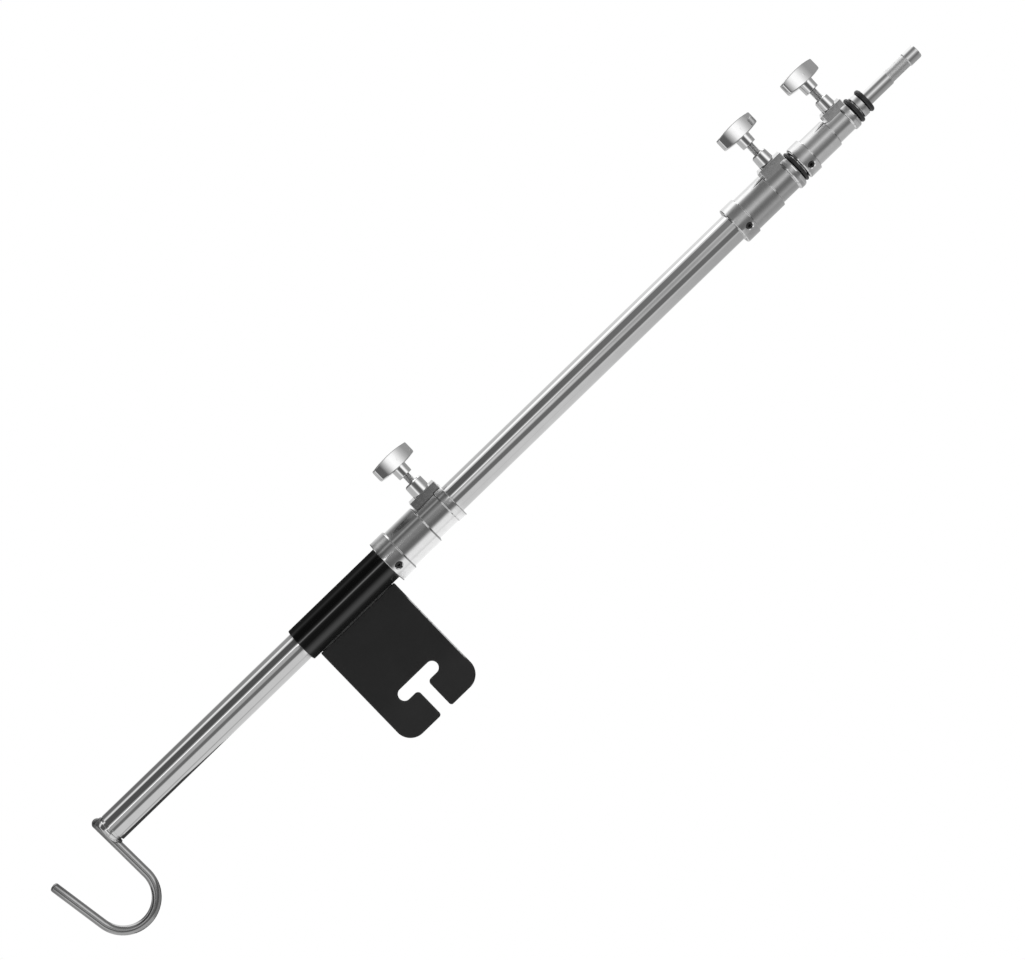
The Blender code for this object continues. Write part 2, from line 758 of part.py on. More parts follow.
def build_guide_ring(name, parent, tail, tube_d, host_d, host_wall):
    """Nylon ring that carries a tube's tail inside the next larger tube."""
    tube_r = tube_d / 2
    ring_r = host_d / 2 - host_wall - RUNNING_GAP
    rear = tail - GUIDE_RING_LIP - SEAT_GAP
    length = GUIDE_RING_LIP + GUIDE_RING_LENGTH
    seat_r = tube_r + RUNNING_GAP
    lip_r = tube_r - 2 * RUNNING_GAP
    ring = turned(
        name,
        [(0, ring_r), (length, ring_r)],
        [(0, lip_r), (GUIDE_RING_LIP, lip_r), (GUIDE_RING_LIP, seat_r), (length, seat_r)],
    )
    place(ring, parent, (rear, 0, 0), ALONG_ARM, "nylon")


def build_pin_end(inner_axis):
    """Ferrule over the inner tube's end, rubber ring and the baby pin with its undercut neck."""
    tube_r = INNER_OD / 2
    pin_r = PIN_D / 2
    ferrule_r = FERRULE_OD / 2
    lip_from = FERRULE_LENGTH - FERRULE_LIP
    ferrule = turned(
        "pin_ferrule",
        [
            (0, ferrule_r - FERRULE_CHAMFER),
            (FERRULE_CHAMFER, ferrule_r),
            (FERRULE_LENGTH - FERRULE_CHAMFER, ferrule_r),
            (FERRULE_LENGTH, ferrule_r - FERRULE_CHAMFER),
        ],
        [
            (0, tube_r + SEAT_GAP),
            (lip_from, tube_r + SEAT_GAP),
            (lip_from, pin_r + SEAT_GAP),
            (FERRULE_LENGTH, pin_r + SEAT_GAP),
        ],
    )
    place(ferrule, inner_axis, (FERRULE_AT, 0, 0), ALONG_ARM, "chrome")
    rubber_ring("pin_bumper_ring", inner_axis, PIN_RING_AT, PIN_RING_GAP, pin_r, PIN_RING_OD / 2)

    spigot_r = tube_r - INNER_WALL - SEAT_GAP
    shoulder = INNER_FRONT + SEAT_GAP - PIN_AT
    neck_from = PIN_BASE_LENGTH
    neck_to = neck_from + PIN_NECK_LENGTH
    tip = neck_to + PIN_TIP_LENGTH
    pin = turned(
        "baby_pin",
        [
            (shoulder - PIN_SPIGOT, spigot_r),
            (shoulder, spigot_r),
            (shoulder, pin_r),
            (neck_from, pin_r),
            (neck_from + PIN_STEP, PIN_NECK_D / 2),
            (neck_to - PIN_STEP, PIN_NECK_D / 2),
            (neck_to, pin_r),
            (tip - PIN_CHAMFER, pin_r),
            (tip, pin_r - PIN_CHAMFER / 2),
        ],
    )
    place(pin, inner_axis, (PIN_AT, 0, 0), ALONG_ARM, "chrome")


def build_arm():
    arm = make_axis("arm_axis", None, (0, EAR_THICKNESS / 2, JAW_DROP))
    boom_axis = make_axis("boom_axis", arm)
    middle_axis = make_axis("middle_axis", boom_axis)
    inner_axis = make_axis("inner_axis", middle_axis)

    build_sleeve(arm)
    build_turning_bush(boom_axis)
    build_ear_plate(arm)
    build_collar("sleeve_collar", SLEEVE_COLLAR, arm, SLEEVE_COLLAR_AT, SLEEVE_OD, BOOM_OD)
    build_clamp("sleeve", SLEEVE_COLLAR, arm, SLEEVE_COLLAR_AT, BOOM_OD)

    build_boom(boom_axis)
    build_collar("boom_collar", BOOM_COLLAR, boom_axis, BOOM_COLLAR_AT, BOOM_OD, MIDDLE_OD)
    build_clamp("boom", BOOM_COLLAR, boom_axis, BOOM_COLLAR_AT, MIDDLE_OD)

    build_guide_ring("middle_guide_ring", boom_axis, MIDDLE_TAIL, MIDDLE_OD, BOOM_OD, BOOM_WALL)
    middle_front = MIDDLE_COLLAR_AT + MIDDLE_COLLAR.seat_depth
    plain_tube("middle_tube", middle_axis, MIDDLE_TAIL, middle_front, MIDDLE_OD, MIDDLE_WALL, "chrome")
    rubber_ring(
        "middle_bumper_ring",
        middle_axis,
        BOOM_COLLAR_FRONT,
        BUMPER_GAP,
        MIDDLE_OD / 2,
        BUMPER_OD / 2,
    )
    build_collar("middle_collar", MIDDLE_COLLAR, middle_axis, MIDDLE_COLLAR_AT, MIDDLE_OD, INNER_OD)
    build_clamp("middle", MIDDLE_COLLAR, middle_axis, MIDDLE_COLLAR_AT, INNER_OD)

    build_guide_ring("inner_guide_ring", middle_axis, INNER_TAIL, INNER_OD, MIDDLE_OD, MIDDLE_WALL)
    plain_tube("inner_tube", inner_axis, INNER_TAIL, INNER_FRONT, INNER_OD, INNER_WALL, "chrome")
    rubber_ring(
        "inner_bumper_ring",
        inner_axis,
        MIDDLE_COLLAR_FRONT,
        INNER_BUMPER_GAP,
        INNER_OD / 2,
        INNER_BUMPER_OD / 2,
    )
    build_pin_end(inner_axis)


build_arm()
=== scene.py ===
"""Studio scene of a telescoping baby boom arm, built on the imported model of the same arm.

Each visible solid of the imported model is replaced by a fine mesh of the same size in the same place,
which rides on the same body. The arm runs along X, its T-knobs point along +Z and its ear plate hangs
along -Z. Lengths are metres.
"""

import math
from dataclasses import dataclass
from types import SimpleNamespace

import bmesh
import bpy
from mathutils import Matrix, Vector, noise


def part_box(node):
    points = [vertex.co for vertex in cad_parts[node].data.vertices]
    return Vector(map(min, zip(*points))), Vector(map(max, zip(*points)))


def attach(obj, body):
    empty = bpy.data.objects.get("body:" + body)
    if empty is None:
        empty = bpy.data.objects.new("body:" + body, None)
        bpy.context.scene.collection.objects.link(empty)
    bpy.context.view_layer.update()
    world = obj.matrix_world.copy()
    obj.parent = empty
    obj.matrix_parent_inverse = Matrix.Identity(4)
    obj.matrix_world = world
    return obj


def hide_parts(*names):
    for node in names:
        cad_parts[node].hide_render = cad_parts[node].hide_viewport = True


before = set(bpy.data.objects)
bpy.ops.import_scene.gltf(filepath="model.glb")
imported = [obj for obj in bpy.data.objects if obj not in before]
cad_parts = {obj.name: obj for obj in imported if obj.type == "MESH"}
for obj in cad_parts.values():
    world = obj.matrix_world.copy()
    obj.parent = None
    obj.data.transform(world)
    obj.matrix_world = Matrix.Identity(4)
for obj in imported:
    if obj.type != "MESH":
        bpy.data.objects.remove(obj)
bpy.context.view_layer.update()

MM = 0.001
SEAT_GAP = 0.3 * MM
RUNNING_GAP = 0.2 * MM
OVERCUT = 5.0 * MM

# Rounds on edges, from one that is only broken to one that is turned soft
FINE_ROUND = 0.2 * MM
SMALL_ROUND = 0.3 * MM
EDGE_ROUND = 0.4 * MM
TURNED_ROUND = 0.5 * MM

# Fineness of the meshes
ROUND_SIDES = 144
SMALL_SIDES = 72
FILLET_STEPS = 5
FILLET_SHARE = 0.49
END_STEPS = 6
ON_AXIS = 1e-7
MERGE_DISTANCE = 0.002 * MM
SMOOTH_LIMIT = math.radians(32)

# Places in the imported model

FOOT_HEIGHT = 0.5 * MM


def along(node):
    """Where a solid starts and ends along the arm."""
    low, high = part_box(node)
    return low.x, high.x


def radius_of(node):
    """Radius of a solid that is turned about the arm's axis."""
    low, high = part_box(node)
    return (high.z - low.z) / 2


BOOM_LOW, BOOM_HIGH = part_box("boom_tube")
AXIS_Y = (BOOM_LOW.y + BOOM_HIGH.y) / 2
AXIS_Z = (BOOM_LOW.z + BOOM_HIGH.z) / 2
ALONG_ARM = Matrix.Rotation(math.pi / 2, 4, 'Y')


def heights(node):
    """Where a solid starts and ends above the arm's axis."""
    low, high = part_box(node)
    return low.z - AXIS_Z, high.z - AXIS_Z


def radius_across(node, lowest=False):
    """Radius of the foot or of the widest part of a solid that stands upright."""
    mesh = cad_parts[node].data
    low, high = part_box(node)
    centre_x, centre_y = (low.x + high.x) / 2, (low.y + high.y) / 2
    ceiling = low.z + FOOT_HEIGHT if lowest else high.z
    return max(
        math.hypot(vertex.co.x - centre_x, vertex.co.y - centre_y)
        for vertex in mesh.vertices
        if vertex.co.z < ceiling
    )


def on_arm(x):
    """Local Z runs along the arm from a place on its axis."""
    return upright(x) @ ALONG_ARM


def upright(x):
    """Local Z points up from a place on the arm's axis."""
    return Matrix.Translation((x, AXIS_Y, AXIS_Z))


# Mesh helpers


def filleted(points, closed):
    """Round the corners of an outline. Points are (along, radius, fillet radius)."""
    count = len(points)
    rounded = []
    for index, (x, y, fillet) in enumerate(points):
        here = Vector((x, y))
        at_end = not closed and index in (0, count - 1)
        if at_end or fillet <= 0:
            rounded.append(here)
            continue
        to_last = Vector(points[index - 1][:2]) - here
        to_next = Vector(points[(index + 1) % count][:2]) - here
        bend = to_last.angle(to_next)
        reach = fillet / math.tan(bend / 2)
        room = FILLET_SHARE * min(to_last.length, to_next.length)
        if reach > room:
            fillet *= room / reach
            reach = room
        bisector = (to_last.normalized() + to_next.normalized()).normalized()
        centre = here + bisector * (fillet / math.sin(bend / 2))
        start = here + to_last.normalized() * reach - centre
        swing = (here + to_next.normalized() * reach - centre).angle_signed(start)
        for step in range(FILLET_STEPS + 1):
            turn = Matrix.Rotation(swing * step / FILLET_STEPS, 2)
            rounded.append(centre + turn @ start)
    return rounded


def full_turn(sides):
    """Angles in radians that go once round in equal steps."""
    return [math.tau * side / sides for side in range(sides)]


def arc(centre, radius, start, end, steps):
    """Points on an arc of a circle in a plane, both ends included, angles in degrees."""
    points = []
    for step in range(steps + 1):
        angle = math.radians(start + (end - start) * step / steps)
        points.append((centre[0] + radius * math.cos(angle), centre[1] + radius * math.sin(angle)))
    return points


def mark_sharp(shape):
    """Shade every face smooth, and keep each edge sharp that bends by more than the limit."""
    for face in shape.faces:
        face.smooth = True
    for edge in shape.edges:
        edge.smooth = edge.is_manifold and edge.calc_face_angle(0.0) < SMOOTH_LIMIT


def mesh_object(name, shape, matrix=Matrix.Identity(4)):
    """A mesh object from a bmesh, with smooth faces and its sharp edges kept."""
    bmesh.ops.recalc_face_normals(shape, faces=shape.faces)
    mark_sharp(shape)
    mesh = bpy.data.meshes.new(name)
    shape.to_mesh(mesh)
    shape.free()
    obj = bpy.data.objects.new(name, mesh)
    bpy.context.scene.collection.objects.link(obj)
    obj.matrix_world = matrix
    return obj


def lathe(name, points, matrix, closed=True, sides=ROUND_SIDES):
    """Turn an outline about local Z. A closed outline is a hollow piece, an open one a solid piece."""
    shape = bmesh.new()
    rings = []
    for x, radius in filleted(points, closed):
        if radius < ON_AXIS:
            rings.append([shape.verts.new((0, 0, x))])
            continue
        rings.append([
            shape.verts.new((radius * math.cos(turn), radius * math.sin(turn), x))
            for turn in full_turn(sides)
        ])
    pairs = list(zip(rings, rings[1:]))
    if closed:
        pairs.append((rings[-1], rings[0]))
    for first, second in pairs:
        for side in range(sides):
            corners = []
            for ring, offset in ((first, 0), (first, 1), (second, 1), (second, 0)):
                corner = ring[(side + offset) % len(ring)]
                if corner not in corners:
                    corners.append(corner)
            if len(corners) > 2:
                shape.faces.new(corners)
    return mesh_object(name, shape, matrix)


def solid_lathe(name, points, matrix, sides=ROUND_SIDES):
    """A solid turned piece: the outline is closed across its axis at both ends."""
    ends = [(points[0][0], 0, 0)] + points + [(points[-1][0], 0, 0)]
    return lathe(name, ends, matrix, closed=False, sides=sides)


def cylinder(name, matrix, start, end, radius, sides=SMALL_SIDES):
    """A plain rod along local Z."""
    return solid_lathe(name, [(start, radius, 0), (end, radius, 0)], matrix, sides)


def loft(name, rings, matrix=Matrix.Identity(4)):
    """A solid through a row of outlines that have the same number of points, closed at both ends."""
    shape = bmesh.new()
    made = [[shape.verts.new(point) for point in ring] for ring in rings]
    for first, second in zip(made, made[1:]):
        for side in range(len(first)):
            after = (side + 1) % len(first)
            shape.faces.new((first[side], first[after], second[after], second[side]))
    shape.faces.new(made[0])
    shape.faces.new(made[-1])
    return mesh_object(name, shape, matrix)


def sweep(name, path, radii, matrix=Matrix.Identity(4), sides=SMALL_SIDES, wobble=0.0):
    """A round rod along a path in a plane square to Y, made lumpy by a wobble."""
    side_axis = Vector((0, 1, 0))
    rings = []
    for index, (point, radius) in enumerate(zip(path, radii)):
        ahead = path[min(index + 1, len(path) - 1)] - path[max(index - 1, 0)]
        up_axis = ahead.normalized().cross(side_axis)
        ring = []
        for turn in full_turn(sides):
            out = side_axis * math.cos(turn) + up_axis * math.sin(turn)
            lump = wobble * noise.noise((point + out * radius) / WELD_LUMP)
            ring.append(point + out * (radius + lump))
        rings.append(ring)
    return loft(name, rings, matrix)


def drawn_in(distance, rounding):
    """How far a surface draws in at a distance from the end of a piece with a rounded edge."""
    short = max(0.0, rounding - distance)
    return rounding - math.sqrt(rounding ** 2 - short ** 2)


def round_ended(path, radius, end_round):
    """A rod's path and its radii, with both ends rounded over a length end_round."""
    points = path[1:-1]
    radii = [radius] * len(points)
    from_first = (path[1] - path[0]).normalized()
    from_last = (path[-2] - path[-1]).normalized()
    for step in reversed(range(END_STEPS)):
        depth = end_round * math.sin(math.pi / 2 * step / END_STEPS)
        spot_r = radius - drawn_in(depth, end_round)
        points = [path[0] + from_first * depth, *points, path[-1] + from_last * depth]
        radii = [spot_r, *radii, spot_r]
    return points, radii


def bake(obj):
    """Replace an object's mesh by what its modifiers make of it."""
    bpy.context.view_layer.update()
    evaluated = obj.evaluated_get(bpy.context.evaluated_depsgraph_get())
    mesh = bpy.data.meshes.new_from_object(evaluated)
    obj.modifiers.clear()
    old = obj.data
    obj.data = mesh
    bpy.data.meshes.remove(old)
    mesh.name = obj.name


def boolean(obj, tools, operation='DIFFERENCE'):
    """Join or cut an object with each tool in turn, then remove the tools."""
    for tool in tools:
        modifier = obj.modifiers.new(operation.title(), 'BOOLEAN')
        modifier.operation = operation
        modifier.solver = 'EXACT'
        modifier.object = tool
    bake(obj)
    for tool in tools:
        bpy.data.objects.remove(tool)
    shape = bmesh.new()
    shape.from_mesh(obj.data)
    bmesh.ops.remove_doubles(shape, verts=shape.verts, dist=MERGE_DISTANCE)
    bmesh.ops.dissolve_degenerate(shape, edges=shape.edges, dist=MERGE_DISTANCE)
    mark_sharp(shape)
    shape.to_mesh(obj.data)
    shape.free()


def show(obj, body, slot, material, *nodes):
    """Give a piece its material and body, and let it stand for its solids.

    Large faces set its shading, so that a fillet doesn't bend the look of what it joins.
    """
    obj.data.materials.clear()
    obj.data.materials.append(material)
    obj.modifiers.new("Weighted normals", 'WEIGHTED_NORMAL').keep_sharp = True
    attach(obj, body)
    if nodes:
        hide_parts(*nodes)


# Materials

# The values that most of a noise lies between
NOISE_RANGE = (0.3, 0.7)
# Millimetres between the fine rings that a lathe leaves
LATHE_PITCH = 0.6


class Nodes:
    """Adds linked nodes to a material or world, so that each look reads as a short list."""

    def __init__(self, owner):
        owner.use_nodes = True
        self.tree = owner.node_tree

    def add(self, kind, **settings):
        node = self.tree.nodes.new(kind)
        for key, value in settings.items():
            setattr(node, key, value)
        return node

    def feed(self, socket, value):
        """Link a socket to another node's output, or set it to a plain value."""
        if isinstance(value, bpy.types.NodeSocket):
            self.tree.links.new(value, socket)
        elif value is not None:
            socket.default_value = value

    def fed(self, node, places, values):
        """A node whose inputs at some places are fed."""
        for place, value in zip(places, values):
            self.feed(node.inputs[place], value)
        return node

    def math(self, operation, *values):
        node = self.add('ShaderNodeMath', operation=operation)
        return self.fed(node, range(len(values)), values).outputs[0]

    def product(self, first, *others):
        for other in others:
            first = self.math('MULTIPLY', first, other)
        return first

    def line(self, value, slope, start):
        """A level that starts from a value and changes with a slope."""
        return self.math('ADD', self.math('MULTIPLY', value, slope), start)

    def remap(self, value, from_low, from_high, to_low=0.0, to_high=1.0):
        node = self.add('ShaderNodeMapRange', interpolation_type='SMOOTHSTEP')
        return self.fed(node, range(5), (value, from_low, from_high, to_low, to_high)).outputs[0]

    def mix(self, factor, first, second):
        node = self.add('ShaderNodeMix', data_type='FLOAT')
        return self.fed(node, (0, 2, 3), (factor, first, second)).outputs[0]

    def mix_colour(self, factor, first, second):
        node = self.add('ShaderNodeMix', data_type='RGBA')
        return self.fed(node, (0, 6, 7), (factor, first, second)).outputs[2]

    def coordinates(self, kind="Object"):
        """The three parts of a place in the piece's own frame, or of a direction in the world."""
        split = self.add('ShaderNodeSeparateXYZ')
        self.feed(split.inputs[0], self.add('ShaderNodeTexCoord').outputs[kind])
        return split.outputs

    def noise(self, scale, detail=3.0, stretch=(1, 1, 1), tilt=0.0):
        """Noise whose lumps are about 1 / scale millimetres wide in the piece's own frame."""
        mapping = self.add('ShaderNodeMapping')
        mapping.inputs["Rotation"].default_value[0] = tilt
        mapping.inputs["Scale"].default_value = [value / MM for value in stretch]
        self.feed(mapping.inputs["Vector"], self.add('ShaderNodeTexCoord').outputs["Object"])
        node = self.add('ShaderNodeTexNoise')
        places = ("Vector", "Scale", "Detail")
        return self.fed(node, places, (mapping.outputs[0], scale, detail)).outputs["Fac"]

    def bump(self, height, depth, finer=None):
        """Bump of a real depth in metres, over a finer one."""
        places = ("Strength", "Distance", "Height", "Normal")
        return self.fed(self.add('ShaderNodeBump'), places, (1.0, depth, height, finer)).outputs[0]


class Look(Nodes):
    """A material, with what its kinds vary: tone, roughness and relief."""

    def __init__(self, name, metallic=0.0):
        self.material = bpy.data.materials.new(name)
        super().__init__(self.material)
        self.shader = self.tree.nodes["Principled BSDF"].inputs
        self.shader["Metallic"].default_value = metallic

    def tone(self, pattern, colour, at_low, at_high):
        """Let a colour follow a pattern between two factors."""
        ends = [(*[min(1.0, channel * factor) for channel in colour], 1.0) for factor in (at_low, at_high)]
        self.feed(self.shader["Base Color"], self.mix_colour(pattern, *ends))

    def rough(self, pattern, roughness, at_low, at_high):
        """Let the roughness follow a noise between two factors."""
        level = self.remap(pattern, *NOISE_RANGE, roughness * at_low, roughness * at_high)
        self.feed(self.shader["Roughness"], level)

    def relief(self, height, depth, finer=None):
        self.feed(self.shader["Normal"], self.bump(height, depth, finer))


def grey(value):
    """A grey colour with its alpha."""
    return (value, value, value, 1.0)


def polished_metal(name, tint, roughness, grain=(1, 1, 0.02), waviness=0.0):
    """Polished plate: faint cloudy tone, streaked gloss and a slight waviness of its surface."""
    look = Look(name, metallic=1.0)
    look.tone(look.noise(scale=0.08), [tint] * 3, at_low=0.95, at_high=1.05)
    streak = look.noise(scale=1.5, stretch=grain)
    look.rough(streak, roughness, at_low=0.8, at_high=1.25)
    look.relief(look.noise(scale=0.12, detail=2.0), waviness, look.bump(streak, depth=0.0006 * MM))
    return look.material


def cast_metal(name, tint, roughness, waviness):
    """Plated casting: cloudy tone, soft dents left by tumbling, and fine rings left by the lathe."""
    look = Look(name, metallic=1.0)
    look.tone(look.noise(scale=0.22, detail=4.0), [tint] * 3, at_low=0.9, at_high=1.08)
    look.rough(look.noise(scale=0.5, detail=4.0), roughness, at_low=0.7, at_high=1.4)
    rings = look.noise(scale=1 / LATHE_PITCH, detail=1.0, stretch=(0.03, 0.03, 1))
    look.relief(look.noise(scale=0.2), waviness, look.bump(rings, depth=0.0004 * MM))
    return look.material


def brushed_metal(name, tint, roughness, tilt=0.0):
    """Bare machined steel with coarse marks running round it and cloudy gloss."""
    look = Look(name, metallic=1.0)
    marks = look.noise(scale=1.2, detail=5.0, stretch=(0.35, 0.35, 1), tilt=tilt)
    look.tone(marks, [tint] * 3, at_low=0.75, at_high=1.15)
    look.rough(marks, roughness, at_low=1.2, at_high=0.8)
    look.relief(marks, depth=0.03 * MM)
    return look.material


def enamel(name, shade, roughness, peel):
    """Paint with a faint orange-peel surface and slightly uneven gloss."""
    look = Look(name)
    look.tone(look.noise(scale=0.06), [shade] * 3, at_low=0.85, at_high=1.15)
    look.rough(look.noise(scale=0.6), roughness, at_low=0.85, at_high=1.2)
    look.relief(look.noise(scale=0.7, detail=2.0), peel)
    return look.material


def moulded(name, colour, roughness, metallic=0.0):
    """Moulded rubber or nylon, or plain brass: mottled tone and a finely pitted surface."""
    look = Look(name, metallic)
    mottle = look.noise(scale=0.9, detail=4.0)
    look.tone(mottle, colour, at_low=0.8, at_high=1.2)
    look.rough(mottle, roughness, at_low=1.15, at_high=0.85)
    look.relief(look.noise(scale=3.0), depth=0.01 * MM)
    return look.material


EVEN = (1, 1, 1)
CHROME_TUBE = polished_metal("chrome_tube", tint=0.61, roughness=0.06, waviness=0.001 * MM)
CHROME_HOOK = polished_metal("chrome_hook", tint=0.34, roughness=0.17, grain=EVEN, waviness=0.003 * MM)
CHROME_KNOB = polished_metal("chrome_knob", tint=0.63, roughness=0.08, grain=EVEN, waviness=0.004 * MM)
CHROME_PIN = polished_metal("chrome_pin", tint=0.62, roughness=0.07)
CHROME_CAST = cast_metal("chrome_cast", tint=0.61, roughness=0.09, waviness=0.006 * MM)
# Rougher cast finish for the blocks' side faces, with its tone halved as painted shade
CAST_FACE_AND_SHADE = cast_metal("cast_face_and_shade", tint=0.30, roughness=0.2, waviness=0.02 * MM)
WELD_METAL = cast_metal("weld_metal", tint=0.15, roughness=0.34, waviness=0.03 * MM)
PIN_NECK = brushed_metal("machined_neck", tint=0.62, roughness=0.40, tilt=math.radians(38))
SCREW_THREAD = brushed_metal("screw_thread", tint=0.52, roughness=0.28)
SLEEVE_PAINT = enamel("sleeve_paint", shade=0.002, roughness=0.06, peel=0.002 * MM)
WELD_PAINT = enamel("weld_paint", shade=0.006, roughness=0.22, peel=0.03 * MM)
SCREW_BLACK = enamel("screw_black", shade=0.01, roughness=0.35, peel=0.01 * MM)
RUBBER = moulded("rubber", colour=(0.010, 0.010, 0.0105), roughness=0.42)
NYLON = moulded("nylon", colour=(0.72, 0.71, 0.67), roughness=0.5)
BRASS = moulded("brass", colour=(0.70, 0.52, 0.22), roughness=0.3, metallic=1.0)


# Sleeve and ear plate

SLEEVE_REAR, SLEEVE_FRONT = along("sleeve_tube")
SLEEVE_R = radius_of("sleeve_tube")
SLEEVE_REAR_ROUND = 2.6 * MM

PLATE_LOW, PLATE_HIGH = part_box("ear_plate")
PLATE_HALF = PLATE_HIGH.x
PLATE_THICKNESS = PLATE_HIGH.y - PLATE_LOW.y
PLATE_EDGE_ROUND = 1.4 * MM
PLATE_EDGE_STEPS = 4
PLATE_EDGE_LIMIT = math.radians(60)
PLATE_CORNER_R = 18.0 * MM
SLOT_WIDTH = 13.5 * MM
SLOT_BAR_LENGTH = 51.8 * MM
SLOT_BAR_Z = AXIS_Z - 107.0 * MM
SLOT_INNER_ROUND = 4.2 * MM
SLOT_MOUTH_ROUND = 3.0 * MM
CORNER_STEPS = 28
MOUTH_STEPS = 10
SHOULDER_STEPS = 12

# Where a light grey strip is painted along the plate's right edge as a painted highlight on its round, and
# over what length it fades
HIGHLIGHT_CEILING = AXIS_Z - 40 * MM
HIGHLIGHT_FLOOR = AXIS_Z - 122 * MM
HIGHLIGHT_FADE = 4 * MM
HIGHLIGHT_START = PLATE_HALF - 1.3 * MM
HIGHLIGHT_FULL = PLATE_HALF - 0.5 * MM
HIGHLIGHT_PATCHES = (0.30, 0.48)
# Grey and gloss of the painted highlight strip on the plate's right edge
HIGHLIGHT_GREY = 0.62
HIGHLIGHT_ROUGHNESS = 0.3
PAINT_TONES = (0.0065, 0.0125)
PAINT_ROUGHNESS = (0.36, 0.46)
PAINT_SPECULAR = 0.35


def plate_paint():
    """Satin black paint on the ear plate, with a painted highlight: a light grey strip painted along its
    right edge.
    """
    look = Look("plate_paint")
    x, _, z = look.coordinates()
    # Painted highlight: a light grey strip down the right edge between two heights, broken up by noise, for
    # the light that the edge's round catches
    edge = look.remap(x, HIGHLIGHT_START, HIGHLIGHT_FULL)
    lower = look.remap(z, HIGHLIGHT_FLOOR - HIGHLIGHT_FADE, HIGHLIGHT_FLOOR + HIGHLIGHT_FADE)
    upper = look.remap(z, HIGHLIGHT_CEILING - HIGHLIGHT_FADE, HIGHLIGHT_CEILING + HIGHLIGHT_FADE, 1.0, 0.0)
    patchy = look.remap(look.noise(scale=0.35, detail=4.0), *HIGHLIGHT_PATCHES)
    edge_highlight = look.product(edge, patchy, lower, upper)
    paint = look.mix_colour(look.noise(scale=0.03), *map(grey, PAINT_TONES))
    gloss = look.remap(look.noise(scale=0.5), *NOISE_RANGE, *PAINT_ROUGHNESS)
    look.feed(look.shader["Base Color"], look.mix_colour(edge_highlight, paint, grey(HIGHLIGHT_GREY)))
    look.feed(look.shader["Roughness"], look.mix(edge_highlight, gloss, HIGHLIGHT_ROUGHNESS))
    look.feed(look.shader["Specular IOR Level"], PAINT_SPECULAR)
    look.relief(look.noise(scale=1.6), depth=0.012 * MM)
    return look.material


def build_sleeve():
    bore_r = radius_of("boom_tube") + RUNNING_GAP
    bush_r = radius_of("rear_guide_bush") + RUNNING_GAP
    bush_end = along("rear_guide_bush")[1] + RUNNING_GAP
    points = [
        (SLEEVE_REAR, SLEEVE_R, SLEEVE_REAR_ROUND),
        (SLEEVE_FRONT, SLEEVE_R, TURNED_ROUND),
        (SLEEVE_FRONT, bore_r, SMALL_ROUND),
        (bush_end, bore_r, 0),
        (bush_end, bush_r, 0),
        (SLEEVE_REAR, bush_r, SMALL_ROUND),
    ]
    sleeve = lathe("sleeve_tube_skin", points, on_arm(0))
    show(sleeve, "mount", "gloss_black", SLEEVE_PAINT, "sleeve_tube")


def plate_outline():
    """Half of the ear plate from its top corner to the slot, then the same half mirrored."""
    slot_r = SLOT_WIDTH / 2
    bar_end = SLOT_BAR_LENGTH / 2 - slot_r
    floor = PLATE_LOW.z
    corner = (-PLATE_HALF + PLATE_CORNER_R, floor + PLATE_CORNER_R)
    mouth = (-slot_r - SLOT_MOUTH_ROUND, floor + SLOT_MOUTH_ROUND)
    shoulder = (-slot_r - SLOT_INNER_ROUND, SLOT_BAR_Z - slot_r - SLOT_INNER_ROUND)
    left = [(-PLATE_HALF, PLATE_HIGH.z)]
    left += arc(corner, PLATE_CORNER_R, 180, 270, CORNER_STEPS)
    left += arc(mouth, SLOT_MOUTH_ROUND, 270, 360, MOUTH_STEPS)
    left += arc(shoulder, SLOT_INNER_ROUND, 0, 90, SHOULDER_STEPS)
    left += arc((-bar_end, SLOT_BAR_Z), slot_r, 270, 90, CORNER_STEPS)
    return left + [(-x, z) for x, z in reversed(left)]


def build_ear_plate():
    shape = bmesh.new()
    front = [shape.verts.new((x, PLATE_LOW.y, z)) for x, z in plate_outline()]
    made = bmesh.ops.extrude_face_region(shape, geom=[shape.faces.new(front)])
    moved = [item for item in made["geom"] if isinstance(item, bmesh.types.BMVert)]
    bmesh.ops.translate(shape, verts=moved, vec=(0, PLATE_THICKNESS, 0))
    plate = mesh_object("ear_plate_skin", shape)
    rounding = plate.modifiers.new("Edge round", 'BEVEL')
    rounding.width = PLATE_EDGE_ROUND
    rounding.segments = PLATE_EDGE_STEPS
    rounding.limit_method = 'ANGLE'
    rounding.angle_limit = PLATE_EDGE_LIMIT
    bake(plate)
    show(plate, "mount", "satin_black", plate_paint(), "ear_plate")


PLATE_WELD_R = 2.0 * MM
PLATE_WELD_INSET = 3.0 * MM
PLATE_WELD_SIDES = 20
WELD_PITCH = 1.9 * MM
WELD_STEPS = 6
WELD_SWELL = 0.12
WELD_MEAN = 0.94
WELD_TIP = 0.25
WELD_TAPER = 6
WELD_WOBBLE = 0.25 * MM
WELD_LUMP = 2.2 * MM


def weld_path(start, end, radius):
    """Points and radii of a bead that swells once for each drop of weld and tapers at its ends."""
    run = end - start
    count = round(run.length / WELD_PITCH) * WELD_STEPS
    points, radii = [], []
    for step in range(count + 1):
        share = step / count
        swell = WELD_SWELL * math.sin(math.tau * step / WELD_STEPS)
        taper = min(1.0, WELD_TIP + WELD_TAPER * min(share, 1 - share))
        points.append(start + run * share)
        radii.append(radius * taper * (WELD_MEAN + swell))
    return points, radii


def build_plate_welds():
    """A bead on each face of the ear plate, where it meets the sleeve."""
    for side_name, side in (("front", -1), ("rear", 1)):
        face_y = AXIS_Y + side * PLATE_THICKNESS / 2
        foot_z = AXIS_Z - math.sqrt(SLEEVE_R ** 2 - (face_y - AXIS_Y) ** 2)
        half = PLATE_HALF - PLATE_WELD_INSET
        start, end = Vector((-half, face_y, foot_z)), Vector((half, face_y, foot_z))
        points, radii = weld_path(start, end, PLATE_WELD_R)
        bead = sweep(f"plate_weld_{side_name}", points, radii, sides=PLATE_WELD_SIDES, wobble=WELD_WOBBLE)
        show(bead, "mount", "satin_black", WELD_PAINT)


# Collars, their screws and T-knobs

